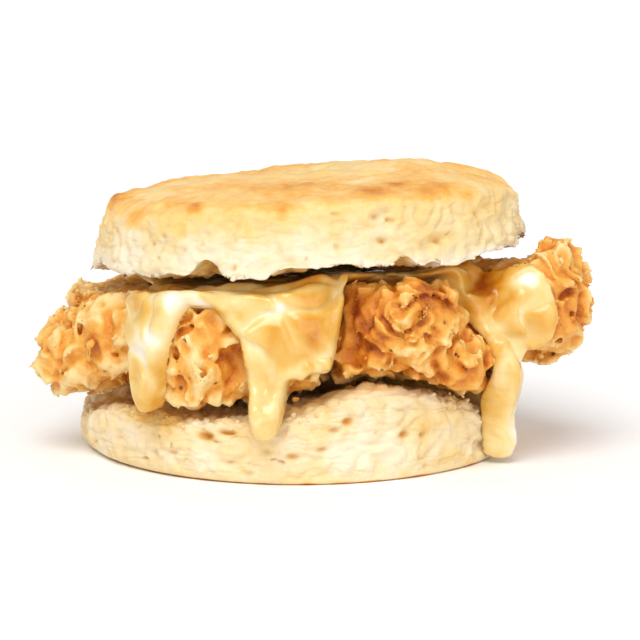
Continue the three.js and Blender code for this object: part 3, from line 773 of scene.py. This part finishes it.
upperLook = {
    "drum": {"across": 150, "rows": 64, "radius": 46, "below": 8, "above": 8},
    # fine tears of the rim: how deep, how fine, and the radii between which they come on
    "ragged": 1.1, "raggedSize": 4.2, "raggedMean": 0.35, "raggedRound": 0.6,
    "raggedFrom": 36, "raggedTo": 45,
    # browning of the crust, more on what stands up and along the shoulder, in broad patches on the top
    "bake": 0.2, "highBake": 0.3, "shoulderBake": 0.1, "shoulderAt": 41, "shoulderWidth": 5,
    "patchBake": 0.16, "patchSize": 16,
    # middle, half widths and depth of the larger holes in the front of the wall
    "pits": [
        ((16.8, -43.2, 56), (1.3, 2, 1), 1.2), ((17.8, -42.8, 51.1), (1.6, 2, 1.1), 1.4),
        ((30.6, -35.9, 49.9), (1.1, 2, 0.9), 1.5), ((39.4, -27.1, 54.2), (1.6, 2, 1.2), 1.2),
        ((-23.5, -37.7, 51), (1.8, 2, 1.2), 0.9), ((-30.2, -32.2, 47.5), (1.4, 2, 1), 0.9),
    ],
    # patches of crust browned more, and last a paler patch in the middle of the top that is a painted
    # highlight: middle, half widths, amount
    "browned": [
        ((1, -27.5, 60.6), (10, 6, 3), 0.34), ((16, -34, 60.4), (4, 5, 2), 0.34),
        ((21.3, -27.4, 61), (2.4, 3, 2), 0.4), ((29.4, -28.6, 60.8), (4.5, 6, 2), 0.2),
        ((-20.8, -35.9, 57.3), (1.8, 3, 2.4), 0.34), ((-33.6, -26.9, 54), (1.8, 2.5, 2.4), 0.34),
        ((-9.6, -44.5, 53), (1.6, 2.5, 1.8), 0.28), ((-2.1, -43.5, 57.9), (1.8, 2.5, 1.6), 0.3),
        ((36.8, -26.9, 58.6), (3, 3, 1.6), 0.3), ((-39.2, -7.8, 55.4), (4, 6, 3), 0.4),
        ((-20, -20, 59), (7, 5, 2), 0.16), ((10, 20, 60), (16, 12, 4), 0.16),
        ((-24, 16, 59), (9, 7, 4), 0.2), ((34, 14, 61), (6, 9, 4), 0.2), ((12, -2, 62), (12, 8, 3), -0.14),
    ],
    # buttery patches of the wall
    "buttered": [
        ((30, -37, 50), (7, 8, 3), 0.2), ((38.7, -27, 54), (5, 7, 4), 0.16), ((-8, -46, 54), (9, 6, 3), 0.1),
    ],
}


# The upper half with its rim torn again by noise, which only takes crumb away.
def raggedUpperField(p):
    x, y, z = p.T
    look = upperLook
    dx, dy = x - upperHalf["x"], y - upperHalf["y"]
    tear = look["ragged"] * clamp01(look["raggedMean"] + noiseAt(p, look["raggedSize"], 66))
    tear = tear * smoothStep(look["raggedFrom"], look["raggedTo"], np.hypot(dx, dy))
    return smoothMax(upperHalfField(p), upperFace(x, y) + notchRise(dx, dy) + tear - z, look["raggedRound"])


def makeUpperHalf(material):
    s, look = upperHalf, upperLook
    centre = (s["x"], s["y"], s["underside"] + look["drum"]["below"])
    skin, normal, quads = fieldSkin(raggedUpperField, centre, look["drum"])
    x, y, z = skin.T
    dx, dy = x - s["x"], y - s["y"]
    up = (z - upperPlane(dx, dy)) / s["wall"]
    out = np.hypot(dx, dy)
    torn = smoothStep(-0.3, -0.8, normal[:, 2])
    top = smoothStep(0.35, 0.85, normal[:, 2])
    runDown = smoothStep(0.5, 1.05, up + 0.2 * noiseAt(skin, 11, 61) + 0.12 * noiseAt(skin, 5, 62))
    crust = clamp01(np.maximum(top, runDown))
    fine, pore = fineCrumb(skin, crust, torn)
    pit = spotSum(skin, look["pits"])
    broad = crumbDepth(skin)
    places = skin - normal * (broad + fine + pit - crumb["proud"])[:, None]
    # browned most along the shoulder and on what stands up, and less in the middle of the top, which is
    # partly a painted highlight
    shoulder = bell(out - look["shoulderAt"], look["shoulderWidth"]) * top
    high = 0.6 - 0.35 * broad - 0.4 * fine
    bake = crust * (look["bake"] + look["highBake"] * high) + look["shoulderBake"] * shoulder
    bake += look["patchBake"] * top * noiseAt(skin, look["patchSize"], 63)
    bake += spotSum(skin, look["browned"])
    rim = bell(z - upperFace(x, y) - 1, 1.6) * smoothStep(40, 45, out)
    butterAndShade = 0.22 * smoothStep(0.25, 0.95, up) + 0.16 * noiseAt(skin, 14, 64) + 0.1 * noiseAt(skin, 5, 65)
    butterAndShade = butterAndShade + 0.06 - 0.3 * rim
    # the torn face is darkened further in and in the notches: partly sauce soaked in from under it, partly
    # painted shade under the upper half
    butterAndShade += torn * (0.35 * smoothStep(47, 42, out) + 0.35 * clamp01(notchRise(dx, dy) / 2))
    butterAndShade += spotSum(skin, look["buttered"])
    # pores and pits painted darker: painted shade
    pore = clamp01(0.4 * pore + smoothStep(0.5, 1.6, pit))
    values = {"bake": bake, "pore": pore, "butterAndShade": butterAndShade}
    buildPiece("biscuitUpper", places, quads, values, material, "biscuit_upper")
    chosen = np.flatnonzero((torn > 0.2) & (out > 44))
    return {"places": places, "normal": normal, "values": values, "chosen": chosen}


crags = {
    # as in the plain solid: the creases' share of the depth, how narrow they are, and the knobs' contrast
    "depth": 3.5, "share": 0.6, "size": 7.5, "narrow": 2.2, "warp": 3.2, "warpSize": 11,
    "knob": 0.6, "knobSize": 13,
    "ribbon": 1.9, "ribbonSize": 4.8, "ribbonWidth": 0.46, "ribbonWarp": 2.4, "ribbonWarpSize": 5.5,
    "calmMean": 0.75, "calmBy": 0.6, "calmSize": 11,  # the ribbons stand lower in some parts than in others
    "nub": 0.6, "nubSpacing": 2.2, "nubWarp": 0.7, "nubWarpSize": 2.2,
    "grit": 0.35, "gritSize": 1.1, "proud": 1.1,
    # ridges that run in uneven rings: middle, reach, distance from ring to ring
    "rings": [((22.5, -46, 36.5), 10.5, 4.4)], "ringHeight": 0.7, "ringFade": 0.6, "ringShare": 0.75,
    "ringWobble": 2.2, "ringWobbleSize": 4.5,
}


# How far down the creases go, 1 along the lines where a curly noise is nought, and the broad hollows.
def cragParts(p):
    bent = warped(p, crags["warp"], crags["warpSize"], 11)
    crease = 1 - np.minimum(1, crags["narrow"] * np.abs(noiseAt(bent, crags["size"], 14)))
    hollow = clamp01(0.5 + crags["knob"] * noiseAt(p, crags["knobSize"], 15))
    return crease, hollow


# Depth of the coating's relief below its crests: the creases and hollows of the plain solid, ribbons that
# stand up where a second curly noise is near nought or near rings round a middle, with a rounded section,
# round nubs, whose depth grows with the square of the distance, and grit.
def coatingDepth(p):
    c = crags
    crease, hollow = cragParts(p)
    bent = warped(p, c["ribbonWarp"], c["ribbonWarpSize"], 71)
    line = noiseAt(bent, c["ribbonSize"], 74)
    wobbly = warped(p, c["ringWobble"], c["ringWobbleSize"], 84)
    for middle, reach, pitch in c["rings"]:
        away = np.linalg.norm(wobbly - np.array(middle), axis=1)
        share = c["ringShare"] * smoothStep(reach, c["ringFade"] * reach, away)
        line = lerp(line, c["ringHeight"] * np.sin(2 * math.pi * away / pitch), share)
    hill = clamp01(1 - np.abs(line) / c["ribbonWidth"])
    hill = hill * hill * (3 - 2 * hill)
    height = c["ribbon"] * clamp01(c["calmMean"] + c["calmBy"] * noiseAt(p, c["calmSize"], 77))
    nearest, _, _, _ = cellsAt(warped(p, c["nubWarp"], c["nubWarpSize"], 75), c["nubSpacing"], 78)
    grit = c["grit"] * (0.5 - 0.5 * noiseAt(p, c["gritSize"], 79))
    nubs = c["nub"] * np.minimum(1, nearest**2)
    plain = c["depth"] * (c["share"] * crease + (1 - c["share"]) * hollow)
    return plain + height * (1 - hill) + nubs + grit


chickenNet = {"cell": 0.535, "block": 4, "spread": 2.4, "margin": 2}

# Colour of the coating: how much local hollows and broad depth darken it, which is painted shade, and places
# that are darker or paler, each with its middle, half widths and amount. Several darker places are painted
# shade: in the pocket under the upper half, along the seam between the pieces, under the upper half's rim and
# at the lower left of the middle lump.
chickenTone = {
    "hollowShade": 0.4, "broad": 0.1, "evenRounds": 24,
    "spots": [
        ((28.4, -41.5, 41), (4.2, 6, 3), 0.45), ((14.8, -42.8, 27), (4, 5, 4.5), 0.35),
        ((12, -41, 36), (2, 5, 5), 0.4), ((20, -45.4, 28.4), (3, 4, 3), -0.25),
        ((-52, -20, 19.6), (4, 6, 3.5), -0.15),
        ((33.8, -39, 22), (6, 5, 4), 0.16), ((38.2, -19.9, 36.9), (6, 6, 6), 0.35),
        ((53.7, -24.7, 31.9), (2.2, 3, 2.6), 0.4), ((57.7, -22.1, 28.6), (4, 4, 3), 0.18),
        ((51.8, -18.4, 45.3), (5, 5, 4), -0.1), ((55, -20, 36), (6, 6, 8), 0.08),
        ((-43.7, -25.5, 26), (2, 4, 4), 0.3), ((-21.2, -45.8, 29.1), (3.5, 3, 4), -0.12),
    ],
}


def makeChicken(name, piece, node, material):
    def field(p):
        return chickenField(p, piece) + coatingDepth(p) - crags["proud"]

    g, t = chickenNet, chickenTone
    middles, sizes = (np.array(v, float) for v in zip(*piece["lobes"]))
    low, high = (middles - sizes).min(0) - g["margin"], (middles + sizes).max(0) + g["margin"]
    places, quads = netSkin(field, low, high, g["cell"] / detail**0.5, g["block"], g["spread"])
    below = -chickenField(places, piece)
    around = evened(below, quads, t["evenRounds"])
    # painted shade: darker in the local hollows and the broad ones
    tone = piece["tone"] + t["hollowShade"] * (below - around) + t["broad"] * (around - around.mean())
    tone += spotSum(places, t["spots"])
    places[:, 2] = np.maximum(places[:, 2], 0.5)
    values = {"depth": clamp01(tone)}
    buildPiece(name, places, quads, values, material, node)
    normal = fieldNormals(lambda p: chickenField(p, piece), places)
    return {"places": places, "normal": normal, "values": values, "chosen": np.arange(len(places))}


sauceGrid = {
    "cell": 0.53, "block": 4, "spread": 1.6, "low": (-58, -58, -1), "high": (68, 54, 51),
    "steps": 1440, "window": 44, "lowest": -0.8, "highest": 1, "rise": 0.005,  # table of its edge
    "pulls": 2, "leastSlope": 0.25, "longestPull": 0.3,  # on to the skin; the longest as a share of a cell
}

sauceTone = {
    "thickness": 1, "ripple": 0.3, "rippleSize": 5, "showThrough": 0.4,
    "lip": 0.6, "lipAt": 2.4, "lipWidth": 1.9,
    "mean": 0.4, "fadeFrom": 14, "fadeTo": 20,  # of the relief that shows through, and where it fades out
    "leastRise": 0.3,
    "base": 0.5, "bead": 0.02, "lipCream": 0.1, "thin": 0.1, "thinFrom": 0.3, "rippleCream": 0.1,
    # where only a film of it is left and the crags show: middle, half widths, amount
    "filmThickness": 0.05, "filmShowThrough": 0.95,
    "film": [
        ((51, -20, 41), (10, 12, 9), 1), ((55, -21, 34), (6, 10, 7), 0.9), ((42, -26, 31), (6, 8, 6), 0.6),
    ],
    # paler and darker places: middle, half widths, amount. Most paler places are painted highlights, and one
    # under the upper half's rim is painted light; the darker places include painted shade under the rim and
    # in the pocket between the lumps, where the sauce is also thin.
    "spots": [
        ((40.3, -20.1, 36.5), (4.5, 6, 5.5), -0.65), ((1, -30, 41), (14, 12, 1.8), -0.2),
        ((-19, -37, 41), (9, 7, 1.5), 0.2), ((-26, -43, 25), (3, 6, 7), -0.1),
        ((-36.6, -27, 35), (3, 5, 2.6), 0.5), ((-30.5, -41, 30), (4, 6, 4), 0.6),
        ((55, -21, 34), (5, 6, 5), -0.15),
        ((-23.5, -41, 38.2), (4, 5, 1.8), 0.5), ((-16, -43, 38.2), (5, 4, 1.3), 0.5),
        ((-4, -43.5, 37.5), (5, 4, 1.8), 0.4), ((-7, -46, 33), (2.4, 4, 4), 0.15),
        ((49, -23, 39.7), (2.5, 3, 2), 0.5), ((46.9, -24, 32.6), (2.5, 3, 2.4), 0.45),
        ((41, -24, 29.6), (1.6, 3, 1.2), 0.4), ((54.6, -22, 40.5), (3, 3, 2), 0.35),
        ((-31, -38, 18), (5, 6, 4), -0.1), ((-5, -43, 13), (3, 4, 2), -0.12),
        ((45, -22, 5), (7, 7, 6), 0.45), ((43, -22, 14), (3, 5, 6), 0.2),
    ],
}


# Elevation of the ring at a radius under the upper half, found by halving between two that it lies between.
def ringElevation(angle, radius):
    lowest, highest, halvings = 0.15, 0.9, 12
    low, high = np.full_like(angle, lowest), np.full_like(angle, highest)
    centre = np.array(sauce["centre"], float)
    for halving in range(halvings):
        middle = (low + high) / 2
        flat = np.cos(middle)
        rays = np.stack([flat * np.cos(angle), flat * np.sin(angle), np.sin(middle)], 1)
        hit = centre + rays * rayLengths(beddingField, centre, rays, sauce["gap"])[:, None]
        beyond = np.hypot(hit[:, 0] - upperHalf["x"], hit[:, 1] - upperHalf["y"]) > radius
        low, high = np.where(beyond, middle, low), np.where(beyond, high, middle)
    return high


# Elevation at which the sauce ends: the lowest of its runs, each falling off to both sides from a round tip.
def endElevation(angle, lip):
    lowest = lip
    for start, halfWidth, end, square, tip in sauce["runs"]:
        off = ((np.degrees(angle) - start + 180) % 360 - 180) / halfWidth
        fall = np.exp(-np.abs(off) ** square)
        reach = np.arctan2(end + tip * np.minimum(1, off**2) - sauce["centre"][2], sauce["reach"])
        blend = fall * sauce["blend"] / sauce["reach"]
        lowest = smoothMin(lowest, lerp(lip, np.minimum(lip, reach), fall), blend)
    return lowest


# How far inside the sauce's edge each direction from its middle is, less than nought outside: the least of
# the distances to the stretch of edge that each step of angle passes, in millimetres at the sauce's reach.
def edgeTable():
    s, g = sauce, sauceGrid
    step = 2 * math.pi / g["steps"]
    angle = step * np.arange(g["steps"]) - math.pi
    shelf = ringElevation(angle, s["shelfInner"])
    drawnBack = s["drawnBackBy"] * bell(np.degrees(angle) - s["drawnBackAngle"], s["drawnBackHalfWidth"])
    lip = np.minimum(shelf - s["narrowest"], ringElevation(angle, s["shelfOuter"] - drawnBack))
    end = endElevation(angle, lip)
    ahead = (end + np.roll(end, -1)) / 2
    behind = np.roll(ahead, 1)
    low = np.minimum(np.minimum(ahead, behind), end)[:, None]
    high = np.maximum(np.maximum(ahead, behind), end)[:, None]
    elevation = np.arange(g["lowest"], g["highest"], g["rise"])[None]
    nearest = np.full((g["steps"], elevation.size), 9.0)
    for shift in range(-g["window"], g["window"] + 1):
        under, over = np.roll(low, shift, 0) - elevation, elevation - np.roll(high, shift, 0)
        upright = np.maximum(0, np.maximum(under, over))
        nearest = np.minimum(nearest, (shift * step) ** 2 + upright**2)
    inside = np.sign(elevation - end[:, None]) * np.sqrt(nearest) * s["reach"]
    return {"inside": inside, "angle": angle, "lip": lip}


# The table's value in a direction, blended between its four nearest entries.
def tableAt(table, angle, elevation):
    g = sauceGrid
    u = (angle + math.pi) / (2 * math.pi) * g["steps"]
    v = np.clip((elevation - g["lowest"]) / g["rise"], 0, table.shape[1] - 1.001)
    i, j = np.floor(u).astype(int), np.floor(v).astype(int)
    a, b = u - i, v - j
    here, after = i % g["steps"], (i + 1) % g["steps"]
    return lerp(lerp(table[here, j], table[after, j], a), lerp(table[here, j + 1], table[after, j + 1], a), b)


# Height of the sauce's skin over its bedding, how creamy it is and how far inside its edge. The height has a
# quarter-round edge, a lip along it, a bead at low ends, a foot that spreads and widens to one side, and flow
# ripples, and the crags show through, most where only a film is left.
def sauceRise(p, edge):
    s, t = sauce, sauceTone
    x, y, z = (p - np.array(s["centre"])).T
    angle, elevation = np.arctan2(y, x), np.arctan2(z, np.hypot(x, y))
    low = smoothStep(s["footFrom"], s["footTo"], elevation)
    beside = bell(np.degrees(angle) - s["footAngle"], s["footHalfWidth"])
    flare = bell(np.degrees(angle) - s["flareAngle"], s["flareHalfWidth"])
    angle = angle - math.radians(s["flareBy"]) * low * flare
    fromEdge = tableAt(edge["inside"], angle, elevation)
    # above the lip it stays under the upper half
    out = np.hypot(p[:, 0] - upperHalf["x"], p[:, 1] - upperHalf["y"]) - s["shelfOuter"] - 1
    past = np.minimum((elevation - np.interp(angle, edge["angle"], edge["lip"])) * s["reach"], out)
    fromEdge = np.minimum(fromEdge, -past)
    spread = s["footOut"] * beside * low
    profile = np.sqrt(1 - (1 - clamp01(fromEdge / (s["edgeRound"] + s["footRound"] * spread))) ** 2)
    bead = smoothStep(s["beadFrom"], s["beadTo"], elevation)
    lip = bell(fromEdge - t["lipAt"], t["lipWidth"])
    along, down = angle * s["reach"] / t["rippleSize"], elevation * s["reach"] / (3 * t["rippleSize"])
    ripple = noise(along, down, 0 * angle, 91)
    crease, hollow = cragParts(p)
    relief = crags["share"] * smoothStep(0, 1, crease) + (1 - crags["share"]) * hollow - t["mean"]
    through = crags["depth"] * relief * smoothStep(t["fadeFrom"], t["fadeTo"], p[:, 2])
    film = clamp01(spotSum(p, t["film"]))
    rise = lerp(t["thickness"], t["filmThickness"], film) + s["bead"] * bead + t["lip"] * lip * (1 - film)
    rise += spread + t["ripple"] * ripple - lerp(t["showThrough"], t["filmShowThrough"], film) * through
    height = lerp(-s["soak"], s["gap"] + np.maximum(rise, t["leastRise"]), profile)
    body = t["base"] + t["bead"] * bead + t["lipCream"] * lip + t["thin"] * (through - t["thinFrom"])
    body += t["rippleCream"] * ripple
    # the spots add painted highlights and painted shade to how creamy it is
    return height, body + spotSum(p, t["spots"]), fromEdge


# The sauce: between its height over the bedding and the depth to which it sinks among the crags, under the
# torn face and above the ground.
def sauceField(p, edge):
    depth = beddingField(p)
    height, _, fromEdge = sauceRise(p, edge)
    shell = smoothMax(depth - height, -depth - sauce["soak"], sauce["shellRound"])
    shell = np.maximum(shell, -sauce["cutPast"] - fromEdge)
    shell = np.maximum(shell, sauce["floorGap"] - p[:, 2])
    return smoothMax(shell, p[:, 2] - ceiling(p[:, 0], p[:, 1]), sauce["ceilingRound"])


# The net of the sauce's field, with each vertex then moved twice along the slope on to the skin itself.
def makeSauce(material):
    g = sauceGrid
    edge = edgeTable()

    def field(p):
        return sauceField(p, edge)

    cell = g["cell"] / detail
    places, quads = netSkin(field, g["low"], g["high"], cell, g["block"], g["spread"])
    steps = np.eye(3) * probe
    longest = g["longestPull"] * cell
    for pull in range(g["pulls"]):
        slope = np.stack([field(places + ahead) - field(places - ahead) for ahead in steps], 1) / (2 * probe)
        shift = field(places) / np.maximum(g["leastSlope"], np.sum(slope**2, 1))
        places -= slope * np.clip(shift, -longest, longest)[:, None]
    _, body, _ = sauceRise(places, edge)
    buildPiece("honeyButterSauce", places, quads, {"body": body}, material, "honey_butter_sauce")


# Small lumps on a skin: a cube of 54 faces blown up to a ball, squashed, turned at random, dented by noise
# and set part of its size out from the skin. They have the attributes of the skin beneath them.
def scatterLumps(name, skins, look, material):
    random = np.random.default_rng(look["seed"])
    count = look["count"]

    def pool(parts):
        return np.concatenate([part[skin["chosen"]] for part, skin in zip(parts, skins)])

    u, v, up, quads = blockSkin(3, 3)
    ball = np.stack([u, v, 2 * up - 1], 1)
    ball /= np.linalg.norm(ball, axis=1)[:, None]
    spots, outward = (pool([skin[key] for skin in skins]) for key in ("places", "normal"))
    picked = random.choice(len(spots), count, replace=False)
    size = look["small"] + (look["large"] - look["small"]) * random.random(count) ** 3
    turn, _ = np.linalg.qr(random.normal(size=(count, 3, 3)))
    squash = look["flattest"] + (1 - look["flattest"]) * random.random((count, 1, 3))
    shape = np.einsum("nij,nkj->nki", turn, ball[None] * squash) * size[:, None, None]
    middles = (spots[picked] + outward[picked] * look["proud"] * size[:, None])[:, None]
    dent = noiseAt((middles + shape).reshape(-1, 3), look["dentSize"], look["seed"]).reshape(count, -1, 1)
    places = middles + shape * (1 + look["dent"] * dent)
    # turning by a mirrored matrix would turn the faces inwards
    mirrored = (np.linalg.det(turn) < 0)[:, None, None]
    faces = np.where(mirrored, quads[None, :, ::-1], quads[None])
    faces = faces + np.arange(count)[:, None, None] * len(ball)
    values = {key: np.repeat(pool([skin["values"][key] for skin in skins])[picked], len(ball))
              for key in skins[0]["values"]}
    buildPiece(name, places.reshape(-1, 3), faces.reshape(-1, 4), values, material, None)


biscuitDough = bakedBiscuit()
coating = friedCoating()
cream = honeyButter()
lowerSkin = makeLowerHalf(biscuitDough)
upperSkin = makeUpperHalf(biscuitDough)
leftSkin = makeChicken("chickenLeft", chickenLeft, "chicken_left", coating)
rightSkin = makeChicken("chickenRight", chickenRight, "chicken_right", coating)
makeSauce(cream)

# how many, their sizes, how far out they stand as a share of the size, how flat and how dented they are
lumps = {
    "coating": {
        "count": 900, "small": 0.35, "large": 1.1, "proud": 0.2, "flattest": 0.4,
        "dent": 0.6, "dentSize": 0.7, "seed": 5,
    },
    "crumb": {
        "count": 240, "small": 0.3, "large": 1, "proud": 0.05, "flattest": 0.4,
        "dent": 0.6, "dentSize": 0.6, "seed": 6,
    },
}
scatterLumps("coatingLumps", [leftSkin, rightSkin], lumps["coating"], coating)
scatterLumps("biscuitCrumbs", [lowerSkin, upperSkin], lumps["crumb"], biscuitDough)

studio = {
    "floorSize": 8, "floor": "#ffffff", "floorShade": "#fdfdfd", "floorGrain": 1.2, "floorBump": 0.02,
    "world": 0.56,
    "key": {"at": (-0.8, -2.7, 4.2), "strength": 1.75, "wide": 40},
    "fill": {"at": (1.6, -3.4, 1), "strength": 0.75, "wide": 50},
}

view = {"target": (5.1, 0, 27.1), "distance": 700, "elevation": 9.5, "lens": 179}


def makeFloor():
    half = studio["floorSize"] / 2
    mesh = bpy.data.meshes.new("floor")
    corners = [(-half, -half, 0), (half, -half, 0), (half, half, 0), (-half, half, 0)]
    mesh.from_pydata(corners, [], [(0, 1, 2, 3)])
    m = newMaterial("whitePaperSweep")
    place = addNode(m, "ShaderNodeTexCoord").outputs["Object"]
    tooth = addNode(m, "ShaderNodeTexNoise", {"Scale": perMetre(studio["floorGrain"]), "Detail": 3},
                    {"Vector": place}).outputs["Fac"]
    colours = {6: linear(studio["floorShade"]), 7: linear(studio["floor"])}
    colour = addNode(m, "ShaderNodeMix", {"data_type": "RGBA", **colours}, {0: tooth})
    rough = addNode(m, "ShaderNodeMapRange", {"To Min": 0.85, "To Max": 0.95}, {"Value": tooth})
    settings = {"Specular IOR Level": 0.1}
    finishMaterial(m, settings, colour.outputs[2], rough.outputs[0], tooth, studio["floorBump"])
    mesh.materials.append(m)
    floor = bpy.data.objects.new("floor", mesh)
    bpy.context.scene.collection.objects.link(floor)


# A large far softbox, as a disc of light a given angle wide.
def makeLight(name, at, strength, wide):
    lamp = bpy.data.lights.new(name, "SUN")
    lamp.energy = strength
    lamp.angle = math.radians(wide)
    holder = bpy.data.objects.new(name, lamp)
    holder.location = at
    holder.rotation_euler = (-Vector(at)).to_track_quat("-Z", "Y").to_euler()
    bpy.context.scene.collection.objects.link(holder)


# Even white light from all round, shown at full white where the camera sees it.
def makeWorld():
    world = bpy.data.worlds.new("studio")
    world.use_nodes = True
    world.node_tree.nodes.clear()
    seen = addNode(world, "ShaderNodeLightPath").outputs["Is Camera Ray"]
    strength = addNode(world, "ShaderNodeMath",
                       {"operation": "MULTIPLY_ADD", 1: 1 - studio["world"], 2: studio["world"]}, {0: seen})
    light = addNode(world, "ShaderNodeBackground", {"Color": (1, 1, 1, 1)}, {"Strength": strength.outputs[0]})
    addNode(world, "ShaderNodeOutputWorld", None, {"Surface": light.outputs[0]})
    bpy.context.scene.world = world


def makeCamera():
    tilt = math.radians(view["elevation"])
    away = Vector((0, -math.cos(tilt), math.sin(tilt))) * view["distance"] * metre
    lens = bpy.data.cameras.new("camera")
    lens.lens = view["lens"]
    lens.sensor_width = 36
    lens.clip_start = 0.01
    camera = bpy.data.objects.new("camera", lens)
    camera.location = Vector(view["target"]) * metre + away
    camera.rotation_euler = (-away).to_track_quat("-Z", "Y").to_euler()
    bpy.context.scene.collection.objects.link(camera)
    bpy.context.scene.camera = camera


makeFloor()
makeWorld()
for name in ("key", "fill"):
    makeLight(name, studio[name]["at"], studio[name]["strength"], studio[name]["wide"])
bpy.context.scene.view_settings.view_transform = "Standard"
makeCamera()
print("studio ready")
